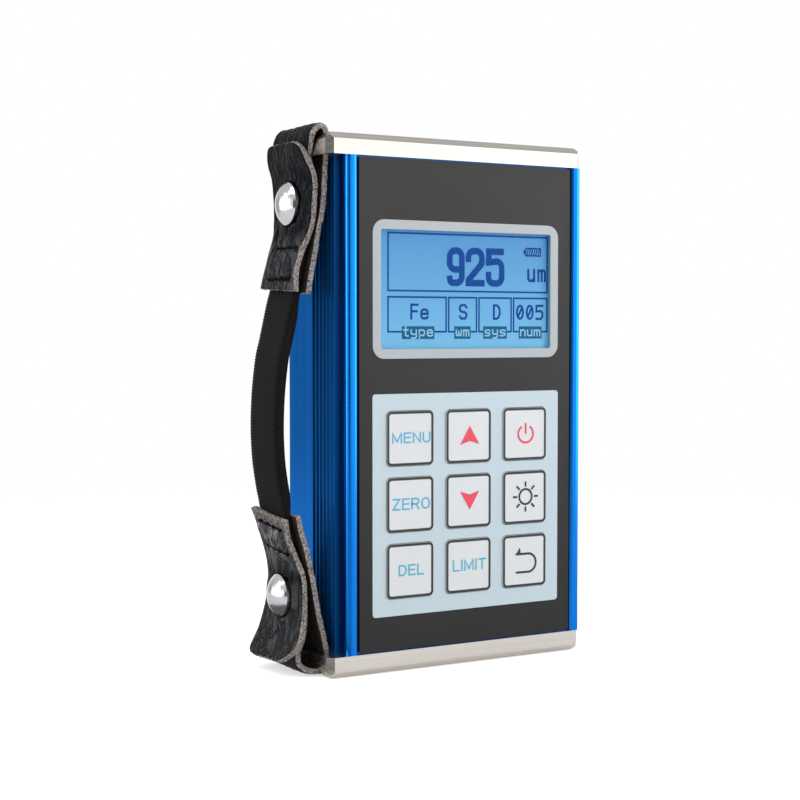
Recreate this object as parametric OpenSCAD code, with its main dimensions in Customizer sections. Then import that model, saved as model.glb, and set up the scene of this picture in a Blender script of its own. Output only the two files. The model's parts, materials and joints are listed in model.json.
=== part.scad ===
// Hand-held thickness gauge: an extruded metal housing between two bright end plates,
// a flat front with a display and nine keys, and a leather and elastic hand strap.
// Frame: X to the right seen from the front, Y to the rear, Z up, in millimetres. The
// origin is on the ground below the middle of the whole object; the pieces are drawn
// about the middle of the housing's rear face and placed over the origin at the end.

/* [Housing] */
// Width of the housing, ears of the end plates left out
body_w = 66; // [60:1:74]
// Depth from the rear face to the front of the rails
body_d = 31; // [30:0.5:36]
// Length of the housing between the end plates
body_len = 115; // [112:1:130]
// Thickness of the side walls behind the channel
side_wall = 2; // [1.6:0.1:2.4]
// Thickness of the front wall behind the panel
front_wall = 1.7; // [1.4:0.1:1.9]
// Thickness of the rear wall
rear_wall = 2.4; // [2.2:0.1:2.6]
// Radius of the rear corners
rear_corner_r = 1.5; // [0.5:0.1:3]
// Width of the rail on each side of the front panel
rail_w = 3; // [2.6:0.1:3.4]
// Radius of the rail's rounded front
rail_r = 1.4; // [0.6:0.1:1.4]
// Height of the rail above the seat of the front panel
rail_h = 1.7; // [1.5:0.1:2]
// Depth of the rail's outer side, in front of the channel
rail_side = 2; // [1.8:0.1:2.4]
// Width of the side channel behind the rail
channel_w = 4.8; // [3.5:0.1:5]
// Depth of the side channel
channel_depth = 1.4; // [0.8:0.1:1.8]
// Number of fine grooves on each side
groove_count = 6; // [4:1:7]
// Spacing of the fine grooves
groove_pitch = 1.8; // [1.4:0.1:1.9]
// Depth of the fine grooves
groove_depth = 0.6; // [0.3:0.1:0.9]

/* [End plates] */
// Thickness of each end plate
plate_t = 5; // [4.5:0.5:7]
// Chamfer of the outer edges and corners
plate_chamfer = 1.5; // [0.5:0.1:2]
// Reach of the strap ear past the housing's side
ear_w = 5; // [4.6:0.1:7]
// Width of the strap slot in the ear
slot_w = 2.2; // [2.1:0.1:2.4]
// Distance from the housing's side to the middle of the slot
slot_u = 2.3; // [2.2:0.05:2.4]
// Depth of the ear's recess that lets the strap in flush
bar_recess = 1.7; // [1.7:0.1:2.2]
// Play between the strap and each end of the slot
slot_play = 0.6; // [0.3:0.1:1.5]
// Nominal diameter of the plate screws
screw_d = 2.8; // [2.4:0.1:3]
// Diameter of the countersunk screw heads
screw_head_d = 5.6; // [4.8:0.1:6]
// Length of the plate screws
screw_len = 11; // [9:0.5:14]

/* [Front panel] */
// Thickness of the front panel
panel_t = 1.2; // [1:0.1:1.4]
// Gap between the front panel and each rail
panel_gap = 0.25; // [0.15:0.05:0.4]

/* [Display] */
// Height of the middle of the display above the middle of the housing
display_z = 27; // [24:0.5:27]
// Distance from the rail to the display border
display_margin = 3.8; // [3:0.1:4.4]
// Height of the display border
border_h = 32.2; // [30:0.2:33]
// Corner radius of the display border
border_r = 3; // [1:0.1:5]
// Width of the pale frame on each side of the opening
border_band = 2.2; // [1.9:0.1:2.8]
// Thickness of the clear window
window_t = 0.75; // [0.5:0.05:0.75]
// Rim by which the window lies behind the border
window_rim = 1.6; // [1.5:0.05:1.65]
// Reach of the backlight above and below the display opening
backlight_rim = 3; // [1.5:0.1:3.5]
// Gap between the backlight and the board guides
backlight_gap = 1.1; // [0.6:0.1:1.6]

/* [Keypad] */
// Height of the middle of the keypad above the middle of the housing
keypad_z = -23.3; // [-25:0.1:-22]
// Distance from the rail to the pale key field
keypad_margin = 3.7; // [3:0.1:4]
// Height of the pale key field
keypad_h = 52; // [51:0.1:54]
// Corner radius of the pale key field
keypad_r = 0.8; // [0.3:0.1:3]
// Distance from the sides of the key field to the outer keys
key_edge = 3.7; // [3:0.1:4.5]
// Space between the key columns
key_space_x = 3.55; // [3:0.05:4.5]
// Space between the key rows
key_space_z = 2.75; // [2.3:0.05:3.2]
// Height of a key
key_h = 12.8; // [11:0.1:13]
// Corner radius of a key
key_r = 1.2; // [0.5:0.1:2]
// Height of a key above the panel's face
key_raise = 0.25; // [0.1:0.05:0.4]
// Gap around each key
key_gap = 0.15; // [0.1:0.05:0.2]
// Travel of a key
key_travel = 0.4; // [0.2:0.05:0.45]

/* [Circuit board] */
// Thickness of the board
board_t = 1.6; // [1:0.1:2]
// Space between the front wall and the board
board_space = 2.4; // [2.2:0.1:2.8]
// Height of the snap domes under the keys
dome_h = 0.45; // [0.3:0.05:0.5]
// Diameter of the buzzer
buzzer_d = 12; // [9:0.5:13]
// Height of the buzzer
buzzer_h = 4.6; // [3:0.1:5]

/* [Batteries] */
// Diameter of a cell
cell_d = 14.5; // [13.5:0.1:14.6]
// Length of a cell, its button included
cell_len = 50.5; // [49:0.1:51]
// Height of the middle of the battery bay above the middle of the housing
bay_z = -12; // [-13:0.5:-10]
// Thickness of the tray's walls
tray_wall = 1.5; // [1.2:0.1:1.8]
// Thickness of the battery door
door_t = 2.2; // [2:0.05:2.2]
// Gap around the battery door
door_gap = 0.3; // [0.25:0.05:0.4]
// Diameter of the door's hinge pins
pin_d = 1.2; // [1:0.05:1.3]

/* [Probe socket] */
// Diameter of the clear bore that takes the plug
socket_bore_d = 8.4; // [7:0.1:8.6]
// Depth of the clear bore
socket_depth = 8; // [6:0.5:9]
// Diameter of the socket's barrel
socket_barrel_d = 12; // [11.6:0.1:13]
// Diameter of the socket's flange
socket_flange_d = 15; // [14.2:0.1:16]
// Shift of the socket to the front, from the middle of the space behind the board
socket_shift = 0; // [-1:0.25:1]

/* [Hand strap] */
// Width of the leather
leather_w = 18.9; // [17:0.1:19.5]
// Width of the leather where it is drawn in at the stitching
waist_w = 15.8; // [15:0.1:17]
// Width of the leather at its sewn end
flare_w = 17.6; // [16:0.1:18.5]
// Thickness of the leather
leather_t = 1.5; // [1.2:0.1:1.5]
// Width of the elastic
elastic_w = 14.2; // [12:0.1:15]
// Thickness of the elastic
elastic_t = 2.1; // [1.6:0.1:2.2]
// Thickness of the elastic where it is sewn flat
elastic_sewn_t = 1.1; // [0.8:0.1:1.1]
// Corner radius of the tongues' rounded ends
tongue_r = 6.5; // [3:0.5:8]
// Diameter of the domed snap caps
cap_d = 10; // [8:0.2:11]
// Height of the caps' rolled rim
cap_rim = 1.1; // [0.6:0.1:1.4]
// Height of the caps' dome above the rim
cap_h = 2.2; // [1.5:0.1:2.6]

/* [Hidden] */
$fn = 48;
arc_steps = 6;
play = 0.1;
cut = 0.5;

half_w = body_w / 2;
half_len = body_len / 2;
half_h = half_len + plate_t;
rail_in = half_w - rail_w;
seat_y = -body_d + rail_h;
panel_y = seat_y - panel_t;
wall_back_y = seat_y + front_wall;
cavity_hw = half_w - channel_depth - side_wall;
board_y = wall_back_y + board_space;
board_back_y = board_y + board_t;
groove_start = body_d - rail_side - channel_w - groove_count * groove_pitch;

guide_w = 1;
guide_reach = 1.5;
guide_play = 0.15;
boss_r = 3.1;
boss_x = cavity_hw - boss_r + 0.3;
boss_rear_y = -rear_wall - boss_r + 0.3;
boss_front_y = board_back_y + guide_play + guide_w + boss_r + 0.7;
boss_bore_d = screw_d + 0.2;
boss_bore_len = screw_len - plate_t + 2;

border_w = 2 * (rail_in - display_margin);
opening_w = border_w - 2 * border_band;
opening_h = border_h - 2 * border_band;
window_w = opening_w + 2 * window_rim;
window_h = opening_h + 2 * window_rim;
window_r = border_r - border_band + window_rim;
lcd_play = 0.25;
lcd_rim = window_rim - 0.6;
lcd_w = opening_w + 2 * lcd_rim;
lcd_h = opening_h + 2 * lcd_rim;
lcd_cut_w = lcd_w + 2 * lcd_play;
lcd_cut_h = lcd_h + 2 * lcd_play;
lcd_front_y = seat_y + 0.15;
lcd_back_y = wall_back_y + 0.2;

keypad_w = 2 * (rail_in - keypad_margin);
key_w = (keypad_w - 2 * key_edge - 2 * key_space_x) / 3;
key_pitch_x = key_w + key_space_x;
key_pitch_z = key_h + key_space_z;
flange_rim = 0.6;
flange_t = 0.7;
key_front_y = panel_y - key_raise;
key_back_y = seat_y + play;
flange_back_y = key_back_y + flange_t;
dome_y = board_y - dome_h;
plunger_y = dome_y - key_travel - play;
key_field_w = 2 * key_pitch_x + key_w + 2 * flange_rim + 1;
key_field_h = 2 * key_pitch_z + key_h + 2 * flange_rim + 1;

cell_gap = 0.7;
contact_t = 0.5;
spring_len = 4.6;
bay_w = 2 * cell_d + cell_gap + 1;
bay_len = cell_len + contact_t + spring_len + 0.4;
cell_y = -door_t - cell_d / 2 - 0.75;
bay_floor_y = cell_y - cell_d / 2 - 0.25;
bay_floor_t = 1.4;
tray_w = bay_w + 2 * tray_wall;
tray_len = bay_len + 2 * tray_wall;
door_w = tray_w + 0.4;
door_len = tray_len + 3.2;
rim_band = 2.8;
rim_w = door_w + 2 * (door_gap + rim_band);
rim_len = door_len + 2 * (door_gap + rim_band);
lip_reach = 1.8;
lip_t = 1.2;
hinge_y = -door_t / 2;
hinge_z = bay_z - door_len / 2 + door_t / 2;
pin_len = 1.6;
notch_r = 5;
notch_depth = 1.3;

socket_y = (rear_wall - board_back_y) / 2 + socket_shift;
socket_flange_t = 1.2;
socket_len = 16;
barrel_seat_d = socket_bore_d + 1.6;
nut_flats = socket_barrel_d + 4;
nut_t = 2.5;
contact_pin_d = 1.2;
contact_ring_r = 2.2;

strap_y = -body_d / 2;
slot_len = leather_w + 2 * slot_play;

// Points along an arc
function arc(cx, cy, r, a0, a1) =
    [for (i = [0:arc_steps]) let (a = a0 + (a1 - a0) * i / arc_steps) [cx + r * cos(a), cy + r * sin(a)]];

// Outline of a rectangle with round corners, about its middle
function round_rect(w, h, r) = concat(
    arc(w / 2 - r, h / 2 - r, r, 0, 90),
    arc(r - w / 2, h / 2 - r, r, 90, 180),
    arc(r - w / 2, r - h / 2, r, 180, 270),
    arc(w / 2 - r, r - h / 2, r, 270, 360)
);

// Outline of a rectangle with cut corners, between given limits
function cut_rect(x0, x1, y0, y1, c) = [
    [x0 + c, y0], [x1 - c, y0], [x1, y0 + c], [x1, y1 - c],
    [x1 - c, y1], [x0 + c, y1], [x0, y1 - c], [x0, y0 + c]
];

function reversed(pts) = [for (i = [len(pts) - 1:-1:0]) pts[i]];
function mirrored(pts) = [for (p = reversed(pts)) [-p[0], p[1]]];

// A smooth curve through a few points, a few steps between each two
function spline_point(a, b, c, d, t) =
    (2 * b + (c - a) * t + (2 * a - 5 * b + 4 * c - d) * t * t + (3 * b - a - 3 * c + d) * t * t * t) / 2;
function smooth(pts, steps) = concat(
    [for (i = [0:len(pts) - 2], j = [0:steps - 1])
        spline_point(pts[max(i - 1, 0)], pts[i], pts[i + 1], pts[min(i + 2, len(pts) - 1)], j / steps)],
    [pts[len(pts) - 1]]
);

// One side of a band along a curve, whose points carry the band's thickness, and its outline
function shifted(pts, side) = [for (i = [0:len(pts) - 1])
    let (v = pts[min(i + 1, len(pts) - 1)] - pts[max(i - 1, 0)])
    [pts[i][0], pts[i][1]] + side * pts[i][2] / 2 * [-v[1], v[0]] / norm([v[0], v[1]])];
function band(pts) = concat(shifted(pts, 1), reversed(shifted(pts, -1)));

// A flat piece: an outline in X and Z, from front y0 to rear y1
module slab(pts, y0, y1, x = 0, z = 0) {
    translate([x, y1, z])
    rotate([90, 0, 0])
    linear_extrude(y1 - y0)
    polygon(pts);
}

// A bar along X: an outline in Y and Z
module bar(pts, x0, x1) {
    translate([x0, 0, 0])
    rotate([90, 0, 90])
    linear_extrude(x1 - x0)
    polygon(pts);
}

// A rod along Y, from front y0 to rear y1
module rod_y(x, z, y0, y1, d) {
    translate([x, y1, z])
    rotate([90, 0, 0])
    cylinder(h = y1 - y0, d = d);
}

// A rod along X
module rod_x(y, z, x0, x1, d) {
    translate([x0, y, z])
    rotate([0, 90, 0])
    cylinder(h = x1 - x0, d = d);
}

// A box between given limits
module block(x0, x1, y0, y1, z0, z1) {
    translate([x0, y0, z0])
    cube([x1 - x0, y1 - y0, z1 - z0]);
}

// Right half of the housing's section, from the rear corner to the panel seat
groove_land = groove_pitch * 0.3;
channel_slope = 0.4;
side_profile = concat(
    arc(half_w - rear_corner_r, -rear_corner_r, rear_corner_r, 90, 0),
    [for (i = [0:groove_count - 1]) let (y = -groove_start - i * groove_pitch)
        each [[half_w, y], [half_w - groove_depth, y - groove_land],
              [half_w - groove_depth, y - groove_pitch / 2], [half_w, y - groove_pitch / 2 - groove_land]]],
    [[half_w, -body_d + rail_side + channel_w],
     [half_w - channel_depth, -body_d + rail_side + channel_w - channel_slope],
     [half_w - channel_depth, -body_d + rail_side + channel_slope],
     [half_w, -body_d + rail_side]],
    arc(half_w - rail_r, -body_d + rail_r, rail_r, 0, -90),
    arc(rail_in + rail_r, -body_d + rail_r, rail_r, -90, -180),
    [[rail_in, seat_y]]
);

boss_places = [
    [boss_x, boss_rear_y], [-boss_x, boss_rear_y], [boss_x, boss_front_y], [-boss_x, boss_front_y]
];

module housing_inside() {
    difference() {
        block(-cavity_hw, cavity_hw, wall_back_y, -rear_wall, -half_len - cut, half_len + cut);
        for (p = boss_places)
            translate([p[0], p[1], -half_len - 2 * cut])
            cylinder(h = body_len + 4 * cut, r = boss_r);
        for (side = [-1, 1], y = [board_y - guide_play - guide_w, board_back_y + guide_play])
            translate([side > 0 ? cavity_hw - guide_reach : -cavity_hw - cut, y, -half_len - 2 * cut])
            cube([guide_reach + cut, guide_w, body_len + 4 * cut]);
    }
}

module housing() {
    color("#0f5fc4")
    difference() {
        translate([0, 0, -half_len])
        linear_extrude(body_len)
        polygon(concat(side_profile, mirrored(side_profile)));
        housing_inside();
        slab(round_rect(lcd_cut_w, lcd_cut_h, 1), seat_y - cut, wall_back_y + cut, 0, display_z);
        slab(round_rect(key_field_w, key_field_h, 1), seat_y - cut, wall_back_y + cut, 0, keypad_z);
        slab(round_rect(rim_w + 2 * play, rim_len + 2 * play, 2), -rear_wall - cut, cut, 0, bay_z);
        for (p = boss_places, end = [-1, 1])
            translate([p[0], p[1], end * half_len - boss_bore_len])
            cylinder(h = 2 * boss_bore_len, d = boss_bore_d);
    }
}

// End plate seen with its outer face up; the bottom one is its mirror image
module end_plate_solid() {
    x0 = -half_w - ear_w;
    x1 = half_w;
    deep = 40;
    intersection() {
        translate([0, 0, half_len])
        linear_extrude(plate_t)
        polygon(cut_rect(x0, x1, -body_d, 0, plate_chamfer));
        slab(cut_rect(x0, x1, half_len - deep, half_h, plate_chamfer), -body_d - cut, cut);
        bar(cut_rect(-body_d, 0, half_len - deep, half_h, plate_chamfer), x0 - cut, x1 + cut);
    }
}

module plate_screw_hole(x, y) {
    head_r = screw_head_d / 2 + play;
    cone_h = head_r - screw_d / 2 - play;
    translate([x, y, half_len - cut])
    cylinder(h = plate_t + 2 * cut, d = screw_d + 2 * play);
    translate([x, y, half_h - cone_h])
    cylinder(h = cone_h, r1 = screw_d / 2 + play, r2 = head_r);
}

module end_plate() {
    difference() {
        end_plate_solid();
        translate([-half_w - slot_u, strap_y, half_len - cut])
        linear_extrude(plate_t + 2 * cut)
        polygon(round_rect(slot_w, slot_len, slot_w / 3));
        block(-half_w - ear_w - cut, -half_w - slot_u, strap_y - slot_len / 2, strap_y + slot_len / 2,
              half_h - bar_recess, half_h + cut);
        for (p = boss_places)
            plate_screw_hole(p[0], p[1]);
    }
}

module top_end_plate() {
    color("#e6dfd6")
    difference() {
        end_plate();
        translate([0, -socket_y, half_len - cut])
        cylinder(h = plate_t + 2 * cut, d = socket_barrel_d + 2 * play);
        translate([0, -socket_y, half_h - socket_flange_t])
        cylinder(h = socket_flange_t + cut, d = socket_flange_d + 2 * play);
    }
}

module bottom_end_plate() {
    color("#e6dfd6")
    mirror([0, 0, 1])
    end_plate();
}

module plate_screws() {
    cone_h = (screw_head_d - screw_d) / 2;
    slot_depth = 0.8;
    for (p = boss_places)
        translate([p[0], p[1], half_h])
        difference() {
            union() {
                translate([0, 0, -screw_len])
                cylinder(h = screw_len - cone_h / 2, d = screw_d);
                translate([0, 0, -cone_h])
                cylinder(h = cone_h, d1 = screw_d, d2 = screw_head_d);
            }
            for (turn = [0, 90])
                rotate([0, 0, turn])
                translate([-1.6, -0.35, -slot_depth])
                cube([3.2, 0.7, slot_depth + cut]);
        }
}

module top_plate_screws() {
    color("silver")
    plate_screws();
}

module bottom_plate_screws() {
    color("silver")
    mirror([0, 0, 1])
    plate_screws();
}

module front_panel() {
    panel_w = 2 * (rail_in - panel_gap);
    color("#4a4a4a")
    difference() {
        slab(round_rect(panel_w, body_len - 2 * panel_gap, 0.6), panel_y, seat_y);
        slab(round_rect(border_w + play, border_h + play, border_r),
             panel_y - cut, seat_y + cut, 0, display_z);
        slab(round_rect(keypad_w + play, keypad_h + play, keypad_r),
             panel_y - cut, seat_y + cut, 0, keypad_z);
    }
}

module display_border() {
    window_y = seat_y - window_t - play / 2;
    color("#c9cdd0")
    difference() {
        slab(round_rect(border_w, border_h, border_r), panel_y, seat_y, 0, display_z);
        slab(round_rect(opening_w, opening_h, 0.6), panel_y - cut, seat_y + cut, 0, display_z);
        slab(round_rect(window_w + play, window_h + play, window_r), window_y, seat_y + cut, 0, display_z);
    }
}

module display_window() {
    color("#cfe6f5")
    slab(round_rect(window_w, window_h, window_r), seat_y - window_t, seat_y, 0, display_z);
}

module lcd_panel() {
    color("#6db3e0")
    slab(round_rect(lcd_w, lcd_h, 0.5), lcd_front_y, lcd_back_y, 0, display_z);
}

module lcd_backlight() {
    backlight_w = 2 * (cavity_hw - guide_reach - backlight_gap);
    color("#e8eef0")
    slab(round_rect(backlight_w, opening_h + 2 * backlight_rim, 1), lcd_back_y, board_y, 0, display_z);
}

function key_place(column, row) = [column * key_pitch_x, keypad_z - row * key_pitch_z];

module keypad_frame() {
    color("#c5d7e1")
    difference() {
        slab(round_rect(keypad_w, keypad_h, keypad_r), panel_y, seat_y, 0, keypad_z);
        for (column = [-1:1], row = [-1:1])
            slab(round_rect(key_w + 2 * key_gap, key_h + 2 * key_gap, key_r + key_gap),
                 panel_y - cut, seat_y + cut, key_place(column, row)[0], key_place(column, row)[1]);
    }
}

// A key: its cap through the frame, a flange that keeps it in, and a plunger over its dome
module key(column, row) {
    p = key_place(column, row);
    plunger_d = 3.2;
    color("#e4e6e9")
    union() {
        slab(round_rect(key_w, key_h, key_r), key_front_y, flange_back_y, p[0], p[1]);
        slab(round_rect(key_w + 2 * flange_rim, key_h + 2 * flange_rim, key_r),
             key_back_y, flange_back_y, p[0], p[1]);
        rod_y(p[0], p[1], flange_back_y - flange_t / 2, plunger_y, plunger_d);
    }
}

module key_menu() { key(-1, -1); }
module key_up() { key(0, -1); }
module key_power() { key(1, -1); }
module key_zero() { key(-1, 0); }
module key_down() { key(0, 0); }
module key_light() { key(1, 0); }
module key_delete() { key(-1, 1); }
module key_limit() { key(0, 1); }
module key_back() { key(1, 1); }

module key_domes() {
    foot_r = 4;
    top_r = 1.8;
    color("silver")
    for (column = [-1:1], row = [-1:1])
        translate([key_place(column, row)[0], board_y, key_place(column, row)[1]])
        rotate([90, 0, 0])
        cylinder(h = dome_h, r1 = foot_r, r2 = top_r);
}

module main_board() {
    color("#1f6b3a")
    block(-cavity_hw + 0.3, cavity_hw - 0.3, board_y, board_back_y, -half_len + 1, half_len - 1);
}

chip_z = 31;

module processor_chip() {
    chip_w = 14;
    chip_t = 1.6;
    chip_x = 13;
    face_y = board_back_y + chip_t;
    color("#222222")
    difference() {
        slab(cut_rect(-chip_w / 2, chip_w / 2, -chip_w / 2, chip_w / 2, 0.8),
             board_back_y, face_y, chip_x, chip_z);
        rod_y(chip_x - chip_w / 3, chip_z + chip_w / 3, face_y - 0.3, face_y + cut, 1.4);
    }
}

// A folded metal cover over the measuring circuit, open towards the board
module amplifier_shield() {
    shield_w = 22;
    shield_h = 12;
    shield_d = 2.6;
    sheet = 0.4;
    color("#b9bcc0")
    difference() {
        slab(round_rect(shield_w, shield_h, 0.8), board_back_y, board_back_y + shield_d, 0, chip_z + 16);
        slab(round_rect(shield_w - 2 * sheet, shield_h - 2 * sheet, 0.5),
             board_back_y - cut, board_back_y + shield_d - sheet, 0, chip_z + 16);
    }
}

module buzzer() {
    buzzer_x = -12;
    color("#1c1c1c")
    difference() {
        rod_y(buzzer_x, chip_z, board_back_y, board_back_y + buzzer_h, buzzer_d);
        rod_y(buzzer_x, chip_z, board_back_y + buzzer_h - 1, board_back_y + buzzer_h + cut, 2);
    }
}

module socket_shell() {
    color("#cfcfcf")
    translate([0, -socket_y, half_h])
    difference() {
        union() {
            translate([0, 0, -socket_flange_t])
            cylinder(h = socket_flange_t, d = socket_flange_d);
            translate([0, 0, -socket_len])
            cylinder(h = socket_len - socket_flange_t / 2, d = socket_barrel_d);
        }
        translate([0, 0, -socket_depth - cut])
        cylinder(h = socket_depth + 2 * cut, d = socket_bore_d);
        translate([0, 0, -socket_len - cut])
        cylinder(h = socket_len - socket_depth + cut, d = barrel_seat_d);
    }
}

contact_places = [for (i = [0:3]) contact_ring_r * [cos(90 * i + 45), sin(90 * i + 45)]];
insert_len = socket_len - socket_depth - play;

module socket_insert() {
    color("#1a1a1a")
    translate([0, -socket_y, half_h - socket_len])
    difference() {
        cylinder(h = insert_len, d = barrel_seat_d - play);
        for (p = contact_places)
            translate([p[0], p[1], -cut])
            cylinder(h = insert_len + 2 * cut, d = contact_pin_d + play);
    }
}

module socket_contacts() {
    tail = 3;
    color("#d8b24a")
    for (p = contact_places)
        translate([p[0], p[1] - socket_y, half_h - socket_len - tail])
        cylinder(h = insert_len + tail - 0.3, d = contact_pin_d);
}

module socket_nut() {
    color("silver")
    translate([0, -socket_y, half_len - nut_t])
    difference() {
        cylinder(h = nut_t, d = nut_flats / cos(30), $fn = 6);
        translate([0, 0, -cut])
        cylinder(h = nut_t + 2 * cut, d = socket_barrel_d + play);
    }
}

module battery_tray() {
    color("#262626")
    difference() {
        union() {
            slab(round_rect(tray_w, tray_len, 1.5), bay_floor_y - bay_floor_t, -door_t - play, 0, bay_z);
            slab(round_rect(rim_w, rim_len, 1.9), -rear_wall - play - lip_t, 0, 0, bay_z);
            slab(round_rect(rim_w + 2 * lip_reach, rim_len + 2 * lip_reach, 2),
                 -rear_wall - play - lip_t, -rear_wall - play, 0, bay_z);
        }
        slab(round_rect(bay_w, bay_len, 0.6), bay_floor_y, cut, 0, bay_z);
        slab(round_rect(door_w + 2 * door_gap, door_len + 2 * door_gap, 0.8), -door_t - play, cut, 0, bay_z);
        rod_x(hinge_y, hinge_z, -door_w / 2 - pin_len - 2 * door_gap, door_w / 2 + pin_len + 2 * door_gap,
              pin_d + 0.3);
        rod_y(0, bay_z + door_len / 2 + door_gap, -notch_depth, cut, 2 * notch_r);
        for (p = boss_places)
            translate([p[0], p[1], -half_len])
            cylinder(h = body_len, r = boss_r + play);
    }
}

cell_places = [[-(cell_d + cell_gap) / 2, 1], [(cell_d + cell_gap) / 2, -1]];
button_len = 1.4;
button_d = 5.5;

// Two round cells side by side, one turned end for end
module battery_cells() {
    end_z = bay_len / 2 - contact_t - play;
    color("#b98a3a")
    for (c = cell_places)
        translate([c[0], cell_y, bay_z])
        rotate([c[1] > 0 ? 0 : 180, 0, 0])
        translate([0, 0, end_z])
        rotate([180, 0, 0])
        union() {
            cylinder(h = button_len + cut, d = button_d);
            translate([0, 0, button_len])
            cylinder(h = cell_len - button_len, d = cell_d);
        }
}

// A plate for the button end and a folded leaf spring for the flat end of each cell
module battery_contacts() {
    plate_w = 9;
    z1 = bay_len / 2;
    leaf = [
        [-4, -z1], [4, -z1], [4, -z1 + contact_t], [-3.2, -z1 + contact_t],
        [2.6, -z1 + spring_len - 0.5], [2.6, -z1 + spring_len], [-4, -z1 + contact_t + 0.2]
    ];
    color("silver")
    for (c = cell_places)
        translate([c[0], cell_y, bay_z])
        rotate([c[1] > 0 ? 0 : 180, 0, 0]) {
            translate([-plate_w / 2, -plate_w / 2, z1 - contact_t])
            cube([plate_w, plate_w, contact_t]);
            bar(leaf, -plate_w / 2, plate_w / 2);
        }
}

// Battery door: a plate with a round lower edge about its hinge pins and a nib at its top
module battery_door() {
    nib_r = 0.6;
    nib_len = 8;
    grip_pitch = 1.6;
    grip_depth = 0.35;
    top_z = bay_z + door_len / 2;
    color("#2b2b2b")
    difference() {
        union() {
            block(-door_w / 2, door_w / 2, -door_t, 0, hinge_z, top_z);
            rod_x(hinge_y, hinge_z, -door_w / 2, door_w / 2, door_t);
            rod_x(hinge_y, hinge_z, -door_w / 2 - pin_len, door_w / 2 + pin_len, pin_d);
            rod_x(-door_t + nib_r + 0.1, top_z - nib_r + door_gap / 2, -nib_len / 2, nib_len / 2, 2 * nib_r);
        }
        for (i = [0:4])
            block(-nib_len, nib_len, -grip_depth, cut,
                  top_z - 5 - i * grip_pitch, top_z - 4.2 - i * grip_pitch);
    }
}

// The strap is drawn by u, the distance out from the housing's side, and v, the distance
// in from the end plate's outer face; a third number is the thickness where it is pared
function strip(pts, t) = [for (p = pts) [p[0], p[1], len(p) > 2 ? p[2] : t]];

under_v = bar_recess - leather_t / 2 - play;
fold_r = 1.5;
fold_u = slot_u + 1.3;
top_loop_line = strip([
    [6.95, 36.6], [6.4, 33.5], [5.75, 30], [5, 26.5], [4.1, 21.5], [3.5, 19], [3.1, 16.5], [2.85, 13.5],
    [2.7, 11], [2.5, 8], [slot_u, 5.5], [slot_u, 3], [slot_u, 0.8], [2.32, -0.6], [2.75, -1.5],
    [3.55, -1.9], [4.5, -1.6], [5.35, -0.8], [6, 0.3], [6.25, 1.5], [6.1, 2.7], [5.9, 4], [5.88, 5],
    [5.45, 6.4, 1.3], [4.95, 7.8, 1.1], [4.6, 9.3, 0.9], [4.47, 11, 0.8], [4.45, 13.5, 0.75],
    [4.55, 16, 0.7], [4.65, 17.4, 0.6], [4.74, 18.6, 0.4]
], leather_t);
top_tongue_line = strip([
    [7.85, 1.6], [7.62, 3.2], [7.5, 4.8], [7.15, 6.3], [6.55, 7.8], [6.05, 9.3], [5.75, 11.2],
    [5.68, 13.5], [5.72, 16], [5.8, 18.8], [6.1, 20.9], [6.65, 23.1], [7.4, 25.2], [8.1, 27], [9, 30],
    [9.6, 32.8], [9.95, 36]
], leather_t);
bottom_loop_line = strip(concat(
    [[9.6, 37.4], [9.2, 35], [8.65, 33], [8, 31], [7.3, 28.5], [6.7, 26], [5.8, 22], [5.1, 18],
     [4.4, 14], [3.5, 10.5], [2.75, 7.5], [2.3, 5.2], [fold_u - fold_r, 3.6]],
    [for (a = [0:30:90]) [fold_u - fold_r * cos(a), under_v + fold_r * (1 - sin(a))]],
    [[4.6, under_v], [5.8, under_v + 0.03], [7, 1.15], [8.1, 1.75], [8.95, 2.75], [9.15, 4.1],
     [8.7, 5.9], [7.75, 8.3, 1.4], [7.25, 10.8, 1.3], [7, 13, 1.15], [6.88, 15.5, 1], [6.85, 17.85, 0.8],
     [6.95, 21, 0.5]]
), leather_t);
bottom_tongue_line = strip([
    [12.5, 3.1], [11.75, 4.2], [10.5, 5.9], [9.4, 8.3], [8.87, 10.8], [8.5, 13], [8.27, 15], [8.2, 17.2],
    [8.2, 19.4], [8.22, 21.5], [8.55, 24], [9.2, 26.6], [10.05, 28.9], [10.85, 31], [11.65, 33],
    [12.25, 35], [12.6, 37]
], leather_t);
elastic_top = strip([
    [6.75, 27.5, elastic_sewn_t], [7.4, 30.1, elastic_sewn_t], [8, 33.5, elastic_sewn_t],
    [8.45, 36, elastic_sewn_t], [9.05, 38.6, 1.6], [9.8, 42.6], [10.85, 47.2], [11.95, 51.8], [12.9, 59.8]
], elastic_t);
elastic_bottom = strip([
    [13.2, 57.2], [12.9, 50.3], [12.3, 45.7], [11.7, 42.2], [11.35, 39.9, 1.7], [11.1, 37.2, elastic_sewn_t],
    [10.7, 35, 1], [10.14, 33, 1], [9.42, 31, 1]
], elastic_t);
elastic_line = concat(
    [for (p = elastic_top) [-half_w - p[0], half_h - p[1], p[2]]],
    [for (p = elastic_bottom) [-half_w - p[0], p[1] - half_h, p[2]]]
);

// Outline in X and Z of a strip of leather at one end of the strap
function leather_outline(line, end) =
    band([for (p = smooth(line, 3)) [-half_w - p[0], end * (half_h - p[1]), p[2]]]);

module leather_strip(line, end) {
    slab(leather_outline(line, end), strap_y - leather_w / 2, strap_y + leather_w / 2);
}

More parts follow.
